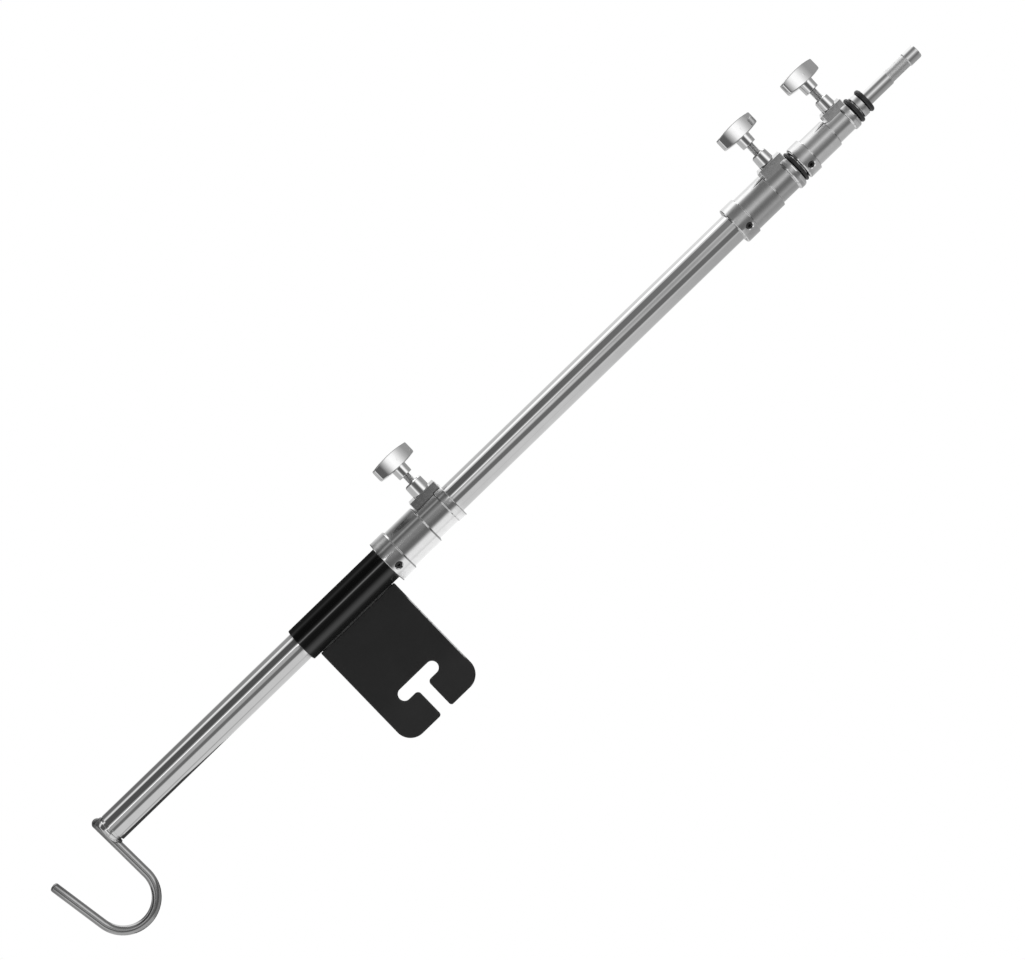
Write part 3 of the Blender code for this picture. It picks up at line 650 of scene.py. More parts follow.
# Sizes in millimetres of the sleeve's, boom's and middle tube's collar. Places run along the arm from a
# collar's rear face, and the block's top is above the arm's axis
COLLAR_SIZES = {
    "flange_d": (49.7, 43.0, 37.3),
    "flange_end": (18.4, 16.8, 15.6),
    "barrel_d": (46.0, 39.2, 32.2),
    "barrel_end": (55.3, 52.6, 45.8),
    "neck_d": (40.6, 34.8, 28.2),
    "neck_end": (81.6, 74.8, 66.4),
    "lip_d": (42.6, 39.6, 31.2),
    "step": (1.2, 1.3, 1.2),
    "lip_round": (0.8, 3.6, 3.4),
    "rear_round": (0.9, 1.1, 2.3),
    "seat_depth": (38.0, 36.0, 33.0),
    "block_start": (57.3, 54.4, 49.2),
    "block_end": (90.6, 83.0, 74.2),
    "block_half_width": (11.6, 14.2, 11.2),
    "block_top": (28.4, 24.0, 20.9),
    "knob_at": (74.6, 68.0, 61.6),
    "boss_d": (20.7, 18.4, 17.3),
    "boss_height": (12.4, 12.4, 11.6),
    "boss_taper": (0.3, 0.8, 0.8),
    "shank_showing": (8.7, 11.5, 10.8),
    "set_screw_at": (8.0, 10.2, 7.8),
}
COLLAR_DEGREES = {
    "knob_turn": (25, 21, 27.5),
    "set_screw_drop": (26, 30, 32),
}
# Each collar's body, the tube that it is seated on and the tube that it guides
COLLAR_PLACES = {
    "sleeve": ("mount", "sleeve_tube", "boom_tube"),
    "boom": ("boom", "boom_tube", "middle_tube"),
    "middle": ("middle", "middle_tube", "inner_tube"),
}


def read_collar(section, index):
    """One collar: its sizes, its place, and the radii of its seat, its guide bore and its screw."""
    body, seat_tube, guided_tube = COLLAR_PLACES[section]
    rear, front = along(f"{section}_collar")
    collar = SimpleNamespace(section=section, body=body, name=f"{section}_collar")
    collar.rear = rear
    collar.length = front - rear
    for name, sizes in COLLAR_SIZES.items():
        setattr(collar, name, sizes[index] * MM)
    for name, degrees in COLLAR_DEGREES.items():
        setattr(collar, name, math.radians(degrees[index]))
    collar.seat_r = radius_of(seat_tube) + SEAT_GAP
    collar.guide_r = radius_of(guided_tube) + RUNNING_GAP
    collar.screw_r = radius_across(f"{section}_knob_screw")
    collar.knob_place = upright(rear + collar.knob_at)
    return collar


COLLARS = [read_collar(section, index) for index, section in enumerate(COLLAR_PLACES)]
SLEEVE_COLLAR, BOOM_COLLAR, MIDDLE_COLLAR = COLLARS

BLOCK_EDGE = 0.7 * MM
BLOCK_CROWN = 2.8 * MM
BLOCK_CROWN_WIDTH = 9.5 * MM
BLOCK_END_CROWN = 0.7 * MM
BLOCK_END_FADE = 2.0 * MM
BLOCK_CORNER_STEPS = 4
SQUARE_ON = 0.999
FACE_TOLERANCE = 0.1 * MM
BOSS_CHAMFER = 1.6 * MM
BOSS_ROUND = 0.8 * MM
BOSS_TOP_ROUND = 0.6 * MM
BOSS_SUNK = 0.4 * MM
SET_SCREW_D = 6.35 * MM
SET_SCREW_POINT = 0.8 * MM
SET_SCREW_POINT_ROUND = 0.1 * MM
SET_SCREW_RECESS = 1.5 * MM
SET_SCREW_SOCKET = 3.175 * MM
SET_SCREW_SOCKET_DEPTH = 2.5 * MM
COUNTERSINK_D = 9.4 * MM


def collar_points(collar):
    """Outline of a collar: flange, barrel, neck and lip outside, tube seat and guide bore inside."""
    edge = collar.step / 2
    seat_end = collar.seat_depth + SEAT_GAP
    return [
        (0, collar.flange_d / 2, collar.rear_round),
        (collar.flange_end - edge, collar.flange_d / 2, TURNED_ROUND),
        (collar.flange_end + edge, collar.barrel_d / 2, TURNED_ROUND),
        (collar.barrel_end - edge, collar.barrel_d / 2, TURNED_ROUND),
        (collar.barrel_end + edge, collar.neck_d / 2, TURNED_ROUND),
        (collar.neck_end - edge, collar.neck_d / 2, TURNED_ROUND),
        (collar.neck_end + edge, collar.lip_d / 2, collar.lip_round),
        (collar.length, collar.lip_d / 2, collar.lip_round),
        (collar.length, collar.guide_r, EDGE_ROUND),
        (seat_end, collar.guide_r, 0),
        (seat_end, collar.seat_r, 0),
        (0, collar.seat_r, SMALL_ROUND),
    ]


def rounded_rectangle(half_x, half_y, rounding):
    """Corner points of a rectangle with rounded corners, as (x, y), going round it."""
    points = []
    for start, side_x, side_y in ((0, 1, 1), (90, -1, 1), (180, -1, -1), (270, 1, -1)):
        centre = (side_x * (half_x - rounding), side_y * (half_y - rounding))
        points += arc(centre, rounding, start, start + 90, BLOCK_CORNER_STEPS)
    return points


def block(collar):
    """Box standing on the arm's axis, with small upright edges and a top that falls to its long sides."""
    top = collar.block_top
    profile = filleted(
        [(0, 0, 0), (0, top - BLOCK_CROWN, TURNED_ROUND), (BLOCK_CROWN_WIDTH, top, 0)],
        closed=False,
    )
    half_length = (collar.block_end - collar.block_start) / 2
    rings = []
    for inset, height in profile:
        end_inset = BLOCK_END_CROWN * min(1.0, inset / BLOCK_END_FADE)
        outline = rounded_rectangle(half_length - end_inset, collar.block_half_width - inset, BLOCK_EDGE)
        rings.append([(x, y, height) for x, y in outline])
    middle = upright(collar.rear + (collar.block_start + collar.block_end) / 2)
    return loft(f"{collar.name}_block", rings, middle)


def set_screw_place(collar, side):
    """Local Z points out through the flange, below level, on one side of the arm."""
    turn = Matrix.Rotation(side * (math.pi / 2 + collar.set_screw_drop), 4, 'X')
    return upright(collar.rear + collar.set_screw_at) @ turn


def set_screw_hole(collar, side):
    """Cutter for a countersunk hole through the flange."""
    flange_r = collar.flange_d / 2
    hole_r = SET_SCREW_D / 2 + SEAT_GAP
    countersink_r = COUNTERSINK_D / 2
    points = [
        (collar.seat_r - OVERCUT / 2, hole_r, 0),
        (flange_r - (countersink_r - hole_r), hole_r, 0),
        (flange_r + OVERCUT, countersink_r + OVERCUT, 0),
    ]
    return solid_lathe(f"{collar.section}_set_screw_hole", points, set_screw_place(collar, side), SMALL_SIDES)


def build_collar(collar):
    """Turned body with its block joined on, bored for the tubes, the shoe and the set screws."""
    name = collar.name
    skin = lathe(f"{name}_skin", collar_points(collar), on_arm(collar.rear))
    boolean(skin, [block(collar)], 'UNION')
    shaft_r = radius_across(f"{name}_bushing", lowest=True) + SEAT_GAP
    shaft = cylinder(f"{name}_shaft", collar.knob_place, 0, collar.block_top + OVERCUT, shaft_r)
    seat_end = collar.seat_depth + SEAT_GAP
    points = [
        (-OVERCUT, collar.seat_r, 0),
        (seat_end, collar.seat_r, 0),
        (seat_end, collar.guide_r, 0),
        (collar.length + OVERCUT, collar.guide_r, 0),
    ]
    bore = solid_lathe(f"{name}_bore", points, on_arm(collar.rear))
    boolean(skin, [shaft, bore] + [set_screw_hole(collar, side) for side in (1, -1)])
    show(skin, collar.body, "cast_nickel", CHROME_CAST, name)
    dull_and_shade_block_faces(skin, collar)


def dull_and_shade_block_faces(skin, collar):
    """The block's two side faces get a rougher cast finish, and a darker tone that is painted shade for the
    dark reflection they catch.
    """
    skin.data.materials.append(CAST_FACE_AND_SHADE)
    for face in skin.data.polygons:
        at = skin.matrix_world @ face.center
        off_face = abs(abs(at.y - AXIS_Y) - collar.block_half_width)
        flat = abs(face.normal.y) > SQUARE_ON and off_face < FACE_TOLERANCE
        if flat and collar.block_start < at.x - collar.rear < collar.block_end:
            face.material_index = 1


def build_set_screws(collar):
    """Two socket set screws in their countersunk holes."""
    foot = collar.seat_r
    top = collar.flange_d / 2 - SET_SCREW_RECESS
    radius = SET_SCREW_D / 2
    points = [
        (foot, radius - SET_SCREW_POINT, 0),
        (foot + SET_SCREW_POINT, radius, SET_SCREW_POINT_ROUND),
        (top, radius, TURNED_ROUND),
    ]
    socket_r = SET_SCREW_SOCKET / math.sqrt(3)
    socket_foot = top - SET_SCREW_SOCKET_DEPTH
    for side, side_name in ((1, "front"), (-1, "rear")):
        place = set_screw_place(collar, side)
        node = f"{collar.name}_set_screw_{side_name}"
        screw = solid_lathe(f"{node}_skin", points, place, SMALL_SIDES)
        boolean(screw, [cylinder(f"{node}_socket", place, socket_foot, top + OVERCUT, socket_r, sides=6)])
        show(screw, collar.body, "black_oxide", SCREW_BLACK, node)


def build_bushing(collar):
    """Threaded bushing: a boss with a chamfered top over a spigot in the block."""
    node = f"{collar.name}_bushing"
    foot, top = heights(node)
    seat = collar.block_top - BLOCK_CROWN - BOSS_SUNK
    spigot_r = radius_across(node, lowest=True)
    top_r = collar.boss_d / 2 - collar.boss_taper
    bore_r = collar.screw_r + SEAT_GAP
    points = [
        (foot, bore_r, FINE_ROUND),
        (foot, spigot_r, FINE_ROUND),
        (seat, spigot_r, 0),
        (seat, collar.boss_d / 2, SMALL_ROUND),
        (top - BOSS_CHAMFER, top_r, BOSS_ROUND),
        (top, top_r - BOSS_CHAMFER, BOSS_TOP_ROUND),
        (top, bore_r, TURNED_ROUND),
    ]
    bushing = lathe(f"{node}_skin", points, collar.knob_place, sides=SMALL_SIDES)
    show(bushing, collar.body, "chrome", CHROME_KNOB, node)


SCREW_PITCH = 1.411 * MM
THREAD_DEPTH = 0.5 * MM
THREAD_STEPS = 8
THREAD_SIDES = 48
THREAD_END = 1.0 * MM
THREAD_SHARPNESS = 1.5


def build_screw(collar):
    """Knob screw with a rolled thread, cut as a wave that climbs one pitch for each turn."""
    node = f"{collar.section}_knob_screw"
    foot, top = heights(node)
    levels = round((top - foot) / SCREW_PITCH * THREAD_STEPS)
    rings = []
    for level in range(levels + 1):
        height = foot + (top - foot) * level / levels
        end_taper = max(0.0, THREAD_END - min(height - foot, top - height))
        ring = []
        for turn in full_turn(THREAD_SIDES):
            wave = 0.5 + 0.5 * math.cos(math.tau * height / SCREW_PITCH - turn)
            spot_r = collar.screw_r - THREAD_DEPTH * wave ** THREAD_SHARPNESS - end_taper
            ring.append((spot_r * math.cos(turn), spot_r * math.sin(turn), height))
        rings.append(ring)
    screw = loft(f"{node}_skin", rings, collar.knob_place)
    show(screw, f"{collar.section}_knob", "satin_nickel", SCREW_THREAD, node)


KNOB_LENGTH = 47.2 * MM
KNOB_END_DEPTH = 7.0 * MM
KNOB_MID_DEPTH = 17.0 * MM
KNOB_END_HEIGHT = 13.2 * MM
KNOB_MID_HEIGHT = 17.4 * MM
KNOB_ROUND = 1.3 * MM
KNOB_ROUND_SHARE = 0.8
KNOB_ROUND_STEPS = 5
KNOB_STEPS = 32
BAR_END_ROUND = 1.7 * MM
BAR_END_STEPS = 8
BAR_FULLNESS = 0.06 * MM
BAR_SIDE_SHARES = (0.0, 0.35, 0.7)
HUB_TOP_D = 17.2 * MM
HUB_FOOT_D = 15.8 * MM
HUB_FOOT_ROUND = 0.8 * MM
HUB_HEIGHT = 10.0 * MM
SCREW_IN_KNOB = 16.0 * MM


def bowed_width(x, length, end_width, mid_width):
    """Width of a strip at a distance x from its middle, with both sides bowed as circular arcs."""
    bow = (mid_width - end_width) / 2
    radius = (length * length / 4 + bow * bow) / (2 * bow)
    return mid_width - 2 * (radius - math.sqrt(radius * radius - x * x))


def bar_section(x, depth, height):
    """Outline across the bar for half sizes: rounded corners, and sides a little fuller at mid height."""
    rounding = min(KNOB_ROUND, KNOB_ROUND_SHARE * depth)
    corner = (depth - BAR_FULLNESS - rounding, height - rounding)
    upper = [(depth - BAR_FULLNESS * share ** 2, share * corner[1]) for share in BAR_SIDE_SHARES]
    upper += arc(corner, rounding, 0, 90, KNOB_ROUND_STEPS)
    upper += [(-y, z) for y, z in reversed(upper)]
    lower = [(-y, -z) for y, z in upper[1:-1]]
    return [(x, y, z) for y, z in upper + lower]


def bowed_bar(name, matrix):
    """The knob's bar, bowed both in plan and in height."""
    half = KNOB_LENGTH / 2
    inner = half - BAR_END_ROUND
    shares = [step / BAR_END_STEPS for step in range(BAR_END_STEPS)]
    ends = [half - BAR_END_ROUND * (1 - math.cos(math.pi / 2 * share)) for share in shares]
    stations = [-x for x in ends] + [inner * (2 * step / KNOB_STEPS - 1) for step in range(KNOB_STEPS + 1)]
    stations += reversed(ends)
    rings = []
    for x in stations:
        end_inset = drawn_in(half - abs(x), BAR_END_ROUND)
        depth = bowed_width(x, KNOB_LENGTH, KNOB_END_DEPTH, KNOB_MID_DEPTH) / 2 - end_inset
        height = bowed_width(x, KNOB_LENGTH, KNOB_END_HEIGHT, KNOB_MID_HEIGHT) / 2 - end_inset
        rings.append(bar_section(x, depth, height))
    return loft(name, rings, matrix)


def build_knob(collar):
    """T-knob: the bowed bar over a tapered hub with a blind bore for its screw."""
    node = f"{collar.section}_knob"
    axis = collar.knob_place
    hub_foot = collar.block_top + collar.boss_height + collar.shank_showing
    bar_middle = hub_foot + HUB_HEIGHT + KNOB_MID_HEIGHT / 2
    turned_bar = axis @ Matrix.Translation((0, 0, bar_middle)) @ Matrix.Rotation(collar.knob_turn, 4, 'Z')
    knob = bowed_bar(f"{node}_skin", turned_bar)
    hub_points = [(hub_foot, HUB_FOOT_D / 2, HUB_FOOT_ROUND), (bar_middle, HUB_TOP_D / 2, 0)]
    boolean(knob, [solid_lathe(f"{node}_hub", hub_points, axis, SMALL_SIDES)], 'UNION')
    bore_end = hub_foot + SCREW_IN_KNOB + SEAT_GAP
    boolean(knob, [cylinder(f"{node}_bore", axis, hub_foot - OVERCUT, bore_end, collar.screw_r + SEAT_GAP)])
    show(knob, node, "chrome", CHROME_KNOB, node)


# Tubes, plug and hook

TUBE_WALL = 1.65 * MM
PLUG_ROUND = 5.5 * MM
PLUG_SPIGOT = 16.0 * MM
PLUG_ROUND_STEPS = 16
HOOK_ROD_R = 5.0 * MM
HOOK_X = along("boom_end_plug")[0]
HOOK_RISE = 17.5 * MM
HOOK_DROP = 56.2 * MM
HOOK_BEND_R = 33.6 * MM
HOOK_BEND_STEPS = 64
HOOK_TAIL = 63.0 * MM
HOOK_SPREAD = math.radians(7.6)
HOOK_LEAN = math.radians(1.5)
HOOK_END_ROUND = 2.9 * MM
HOOK_PLACE = upright(HOOK_X) @ Matrix.Rotation(-HOOK_LEAN, 4, 'Y')

# Where the hook starts to get darker and duller towards its weld, where it is fully so, and the look there
DARKENING_FOOT = -24 * MM
DARKENING_HEAD = 4 * MM
DARKENED_TINT = 0.21
DARKENED_ROUGHNESS = 0.22


def tube_skin(node):
    """A tube with small rounds at both of its ends."""
    rear, front = along(node)
    outer_r = radius_of(node)
    points = [
        (0, outer_r, EDGE_ROUND),
        (front - rear, outer_r, EDGE_ROUND),
        (front - rear, outer_r - TUBE_WALL, FINE_ROUND),
        (0, outer_r - TUBE_WALL, FINE_ROUND),
    ]
    return lathe(f"{node}_skin", points, on_arm(rear))


def cut_for_rod(piece):
    """Notch a piece round the hook's rod."""
    reach = radius_of("boom_tube") + OVERCUT
    boolean(piece, [cylinder("rod_cutter", HOOK_PLACE, -reach, reach, HOOK_ROD_R + SEAT_GAP)])


def build_boom_tube():
    """Boom tube and its round-ended plug, both notched round the hook rod."""
    tube = tube_skin("boom_tube")
    cut_for_rod(tube)
    show(tube, "boom", "chrome", CHROME_TUBE, "boom_tube")

    shell_r = radius_of("boom_tube")
    spigot_r = shell_r - TUBE_WALL - SEAT_GAP
    rounded = arc((PLUG_ROUND, shell_r - PLUG_ROUND), PLUG_ROUND, 180, 90, PLUG_ROUND_STEPS)
    points = [(x, radius, 0) for x, radius in rounded]
    points += [(PLUG_ROUND, spigot_r, 0), (PLUG_ROUND + PLUG_SPIGOT, spigot_r, 0)]
    plug = solid_lathe("boom_end_plug_skin", points, on_arm(HOOK_X))
    cut_for_rod(plug)
    show(plug, "boom", "chrome", CHROME_TUBE, "boom_end_plug")


def build_inner_tubes():
    for node, body in (("middle_tube", "middle"), ("inner_tube", "inner")):
        show(tube_skin(node), body, "chrome", CHROME_TUBE, node)


def darken_towards_weld(material):
    """Darken and dull the hook towards its weld."""
    nodes = Nodes(material)
    shader = nodes.tree.nodes["Principled BSDF"].inputs
    # Darker and duller towards the top of the hook, where it meets the boom
    darkening = nodes.remap(nodes.coordinates()["Z"], DARKENING_FOOT, DARKENING_HEAD)
    for name, mix, darkened in (
        ("Base Color", nodes.mix_colour, grey(DARKENED_TINT)),
        ("Roughness", nodes.mix, DARKENED_ROUGHNESS),
    ):
        nodes.feed(shader[name], mix(darkening, shader[name].links[0].from_socket, darkened))


def build_hook():
    """Bent rod with rounded ends across the boom's rear end."""
    bend_angle = 180 - math.degrees(HOOK_SPREAD)
    bend = arc((-HOOK_BEND_R, -HOOK_DROP), HOOK_BEND_R, 0, -bend_angle, HOOK_BEND_STEPS)
    end_x, end_z = bend[-1]
    tip = (end_x - math.sin(HOOK_SPREAD) * HOOK_TAIL, end_z + math.cos(HOOK_SPREAD) * HOOK_TAIL)
    path = [Vector((x, 0, z)) for x, z in [(0, HOOK_RISE)] + bend + [tip]]
    points, radii = round_ended(path, HOOK_ROD_R, HOOK_END_ROUND)
    hook = sweep("counterweight_hook_skin", points, radii, HOOK_PLACE)
    darken_towards_weld(CHROME_HOOK)
    show(hook, "boom", "chrome", CHROME_HOOK, "counterweight_hook")


# Weld beads in the corners between rod and boom: place along the arm, height, radius
HOOK_WELDS = {
    "cap": (0.1 * MM, 13.5 * MM, 5.5 * MM),
    "top": (5.2 * MM, 13.2 * MM, 3.2 * MM),
    "bottom": (5.0 * MM, -14.9 * MM, 1.9 * MM),
}
HOOK_WELD_STATIONS = 24
HOOK_WELD_SIDES = 32
HOOK_WELD_REACH = 5.5 * MM
HOOK_WELD_WAVE = 0.05
HOOK_WELD_PACE = 9
HOOK_WELD_END = 0.04


def build_hook_welds():
    """A bead across each corner, from front to back, that swells and narrows in waves."""
    for name, (offset, height, radius) in HOOK_WELDS.items():
        rings = []
        for station in range(HOOK_WELD_STATIONS + 1):
            share = 2 * station / HOOK_WELD_STATIONS - 1
            fullness = math.sqrt(max(HOOK_WELD_END, 1 - share ** 2))
            spot_r = radius * fullness * (1 + HOOK_WELD_WAVE * math.sin(HOOK_WELD_PACE * share))
            depth = share * HOOK_WELD_REACH
            turns = full_turn(HOOK_WELD_SIDES)
            rings.append([(spot_r * math.cos(turn), depth, spot_r * math.sin(turn)) for turn in turns])
        place = upright(HOOK_X + offset) @ Matrix.Translation((0, 0, height))
        show(loft(f"hook_weld_{name}", rings, place), "boom", "chrome", WELD_METAL)


# Rubber rings, ferrule and pin

RING_TILT = math.radians(1.6)
RING_SQUEEZE = 0.97
RING_STEPS = 28
PIN_R = 15.875 / 2 * MM
RINGS = (
    ("middle_bumper_ring", "middle", radius_of("middle_tube")),
    ("inner_bumper_ring", "inner", radius_of("inner_tube")),
    ("pin_bumper_ring", "inner", PIN_R),
)


def build_rings():
    """Rubber rings of round section that sit a little askew on what they are pushed over."""
    for node, body, core_r in RINGS:
        rear, front = along(node)
        outer_r = radius_of(node)
        inner_r = core_r + RUNNING_GAP
        half_width = (front - rear) / 2 * RING_SQUEEZE
        half_depth = (outer_r - inner_r) / 2
        middle_r = (outer_r + inner_r) / 2
        points = [
            (half_width * math.cos(turn), middle_r + half_depth * math.sin(turn), 0)
            for turn in full_turn(RING_STEPS)
        ]
        place = on_arm((rear + front) / 2) @ Matrix.Rotation(RING_TILT, 4, 'X')
        show(lathe(f"{node}_skin", points, place), body, "rubber", RUBBER, node)


FERRULE_LIP = 2.0 * MM
FERRULE_ROUND = 0.9 * MM
PIN_SPIGOT = 40.0 * MM
PIN_BASE_LENGTH = 30.0 * MM
PIN_NECK_R = 7.0 * MM
PIN_NECK_LENGTH = 25.5 * MM
PIN_STEP = 0.9 * MM
PIN_SLOPE = 1.6 * MM
PIN_CHAMFER = 1.4 * MM
PIN_END_ROUND = 0.6 * MM
PIN_NECK_ROUND = 1.5 * MM
PIN_STEP_ROUND = 0.8 * MM


def build_ferrule():
    rear, front = along("pin_ferrule")
    length = front - rear
    outer_r = radius_of("pin_ferrule")
    tube_r = radius_of("inner_tube") + SEAT_GAP
    points = [
        (0, outer_r, FERRULE_ROUND),
        (length, outer_r, FERRULE_ROUND),
        (length, PIN_R + SEAT_GAP, FINE_ROUND),
        (length - FERRULE_LIP, PIN_R + SEAT_GAP, 0),
        (length - FERRULE_LIP, tube_r, 0),
        (0, tube_r, FINE_ROUND),
    ]
    ferrule = lathe("pin_ferrule_skin", points, on_arm(rear))
    show(ferrule, "inner", "chrome", CHROME_CAST, "pin_ferrule")


def build_pin():
    """Baby pin: spigot in the tube, base, machined neck and tip."""
    rear, front = along("baby_pin")
    neck_from = along("pin_bumper_ring")[1] + SEAT_GAP - rear + PIN_BASE_LENGTH
    neck_to = neck_from + PIN_NECK_LENGTH
    tip = front - rear
    spigot_r = radius_of("inner_tube") - TUBE_WALL - SEAT_GAP
    points = [
        (0, spigot_r, PIN_END_ROUND),
        (PIN_SPIGOT, spigot_r, 0),
        (PIN_SPIGOT, PIN_R, EDGE_ROUND),
        (neck_from, PIN_R, EDGE_ROUND),
        (neck_from + PIN_SLOPE, PIN_NECK_R, PIN_NECK_ROUND),
        (neck_to - PIN_STEP, PIN_NECK_R, PIN_STEP_ROUND),
        (neck_to, PIN_R, SMALL_ROUND),
        (tip - PIN_CHAMFER, PIN_R, PIN_END_ROUND),
        (tip, PIN_R - PIN_CHAMFER / 2, EDGE_ROUND),
    ]
    pin = solid_lathe("baby_pin_skin", points, on_arm(rear))
    show(pin, "inner", "chrome", CHROME_PIN, "baby_pin")
    pin.data.materials.append(PIN_NECK)
    for face in pin.data.polygons:
        if neck_from < face.center.z < neck_to:
            face.material_index = 1


HIDDEN_SOLIDS = {
    "rear_guide_bush": NYLON,
    "middle_guide_ring": NYLON,
    "inner_guide_ring": NYLON,
    "sleeve_clamp_shoe": BRASS,
    "boom_clamp_shoe": BRASS,
    "middle_clamp_shoe": BRASS,
}


def dress_hidden_solids():
    """Solids that only show when the arm is taken apart keep their mesh and get their material."""
    for node, material in HIDDEN_SOLIDS.items():
        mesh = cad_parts[node].data
        mesh.materials.clear()
        mesh.materials.append(material)


def build_arm():
    build_sleeve()
    build_ear_plate()
    build_plate_welds()
    for collar in COLLARS:
        build_collar(collar)
        build_set_screws(collar)
        build_bushing(collar)
        build_screw(collar)
        build_knob(collar)
    build_boom_tube()
    build_hook()
    build_hook_welds()
    build_inner_tubes()
    build_rings()
    build_ferrule()
    build_pin()
    dress_hidden_solids()


# Studio

FLOOR_Z = AXIS_Z - 1.05
FLOOR_RADIUS = 1.2
FLOOR_SIDES = 96
FLOOR_TONES = (0.93, 0.97)
FLOOR_ROUGHNESS = 0.9
CAMERA_DISTANCE = 3.45
CAMERA_X = 0.2075
CAMERA_DROP = 0.0281
CAMERA_ROLL = math.radians(44.05)
FRAME_WIDTH = 1.0257
SENSOR = 36.0
FARTHEST = 50
SOFT_LIGHT = 0.8
LAMP_POWER = 18.0
LAMP_SIZE = 1.6
LAMP_AWAY = Vector((-0.6, -1.2, 1.9))
ARM_MIDDLE = Vector((CAMERA_X, 0, AXIS_Z))


@dataclass
class Card:
    """A bright or dark patch of the surroundings, such as a reflecting card or soft box leaves.

    Its place is the angle round the arm's axis, in degrees from the camera's side upwards, and the
    stretch along the arm that it covers, as the sine of the angle to the camera's line. Slant, spread
    and ramp say how angle, half width and level change along the arm.
    """

    angle: float
    half: float
    soft: float
    level: float
    slant: float = 0.0
    spread: float = 0.0
    ramp: float = 0.0
    least: float = 0.02
    start: float = -0.30
    end: float = 0.30
    edge: float = 0.05


ROOM_CARDS = (
    Card(angle=122, half=26, soft=8, level=0.75, ramp=3.9, least=0.2),
    Card(angle=94, half=9, soft=4, level=1.6, slant=60, spread=40, ramp=2.0),
    Card(angle=8, half=20, soft=4, level=0.64, ramp=0.6, end=0.06),
    Card(angle=51, half=23, soft=4, level=0.155, slant=-10, ramp=1.3, least=0.12),
    Card(angle=20, half=2.5, soft=2.5, level=1.6, ramp=-3.0, end=0.05),
    Card(angle=1, half=5, soft=4, level=0.95, slant=30, spread=60, start=-0.05, end=0.06),
    Card(angle=-25, half=16, soft=5, level=0.21, slant=-57, spread=36),
    Card(angle=13, half=14, soft=13, level=-0.45, slant=-60, ramp=10.3, start=0.06),
    Card(angle=-103, half=48, soft=12, level=0.53, start=0.06, end=0.35),
    Card(angle=-88, half=4, soft=5, level=0.5, end=-0.08, edge=0.03),
    Card(angle=-85, half=3, soft=4, level=0.78, start=-0.02, end=0.06, edge=0.03),
)
# Past this the cards stay as they are, for the rounded ends and steps that look along the arm
CARDS_REACH = 0.17
ROOM_LEVEL = 0.88
ENDS_LEVEL = 1.0
ENDS_FADE = (0.35, 0.6)

# What upright surfaces see: the levels at angles round the vertical, from the camera's side to the
# right, how far above and below level they reach, and how far off the camera's line they set in
UPRIGHT_TONES = (
    (-180, 0.7), (-65, 0.68), (-55, 0.85), (-47, 1.35), (-40, 1.3), (-31, 0.5), (-22, 0.2), (0, 0.15),
    (9, 0.15), (17, 0.3), (26, 0.87), (32, 1.35), (40, 1.6), (50, 1.5), (60, 1.05), (68, 0.72),
    (80, 0.45), (180, 0.45),
)
UPRIGHT_RISE = (14.0, 22.0)
UPRIGHT_FADE = (0.16, 0.20)
BRIGHTEST = 2.0


def tone_curve(nodes, angle, tones):
    """Level at an angle from -180 to 180 degrees, read off a list of (angle, level)."""
    ramp = nodes.add('ShaderNodeValToRGB')
    nodes.feed(ramp.inputs[0], nodes.math('ADD', nodes.math('DIVIDE', angle, 360.0), 0.5))
    stops = ramp.color_ramp.elements
    while len(stops) < len(tones):
        stops.new(1.0)
    for stop, (at, level) in zip(stops, tones):
        stop.position = at / 360 + 0.5
        stop.color = grey(level / BRIGHTEST)
    return nodes.math('MULTIPLY', ramp.outputs[0], BRIGHTEST)


def with_card(nodes, level, card, angle, place):
    """The level of the surroundings, with one card laid over it."""
    centre = nodes.line(place, card.slant, card.angle)
    half = nodes.line(place, card.spread, card.half)
    away = nodes.math('SUBTRACT', nodes.math('ABSOLUTE', nodes.math('SUBTRACT', angle, centre)), half)
    across = nodes.remap(away, -card.soft, card.soft, 1.0, 0.0)
    after = nodes.remap(place, card.start - card.edge, card.start + card.edge)
    before = nodes.remap(place, card.end - card.edge, card.end + card.edge, 1.0, 0.0)
    shade = nodes.math('MAXIMUM', nodes.line(place, card.ramp, card.level), card.least)
    return nodes.mix(nodes.product(across, after, before), level, shade)


def make_world():
    """White studio. Only reflections see its cards, and the camera sees plain white behind."""
    world = bpy.data.worlds.new("studio")
    bpy.context.scene.world = world
    nodes = Nodes(world)
    nodes.tree.nodes.clear()
    x, y, z = nodes.coordinates("Generated")
    towards = nodes.math('MULTIPLY', y, -1.0)
    half_angle = nodes.math('ARCTAN2', z, nodes.math('ADD', towards, 1.0))
    angle = nodes.math('DEGREES', nodes.math('MULTIPLY', half_angle, 2.0))
    side = nodes.math('ABSOLUTE', x)
    place = nodes.math('MINIMUM', nodes.math('MAXIMUM', x, -CARDS_REACH), CARDS_REACH)
    level = nodes.remap(side, *ENDS_FADE, ROOM_LEVEL, ENDS_LEVEL)
    for card in ROOM_CARDS:
        level = with_card(nodes, level, card, angle, place)
    round_about = nodes.math('DEGREES', nodes.math('ARCTAN2', x, towards))
    rise = nodes.math('ABSOLUTE', nodes.math('DEGREES', nodes.math('ARCSINE', z)))
    upright_part = nodes.product(nodes.remap(rise, *UPRIGHT_RISE, 1.0, 0.0), nodes.remap(side, *UPRIGHT_FADE))
    level = nodes.mix(upright_part, level, tone_curve(nodes, round_about, UPRIGHT_TONES))
    path = nodes.add('ShaderNodeLightPath').outputs
    seen = nodes.mix(path["Is Glossy Ray"], SOFT_LIGHT, level)
    behind = nodes.math('MAXIMUM', path["Is Camera Ray"], path["Is Transmission Ray"])
    background = nodes.add('ShaderNodeBackground')
    nodes.feed(background.inputs["Color"], grey(1.0))
    nodes.feed(background.inputs["Strength"], nodes.mix(behind, seen, 1.0))
    nodes.feed(nodes.add('ShaderNodeOutputWorld').inputs["Surface"], background.outputs[0])


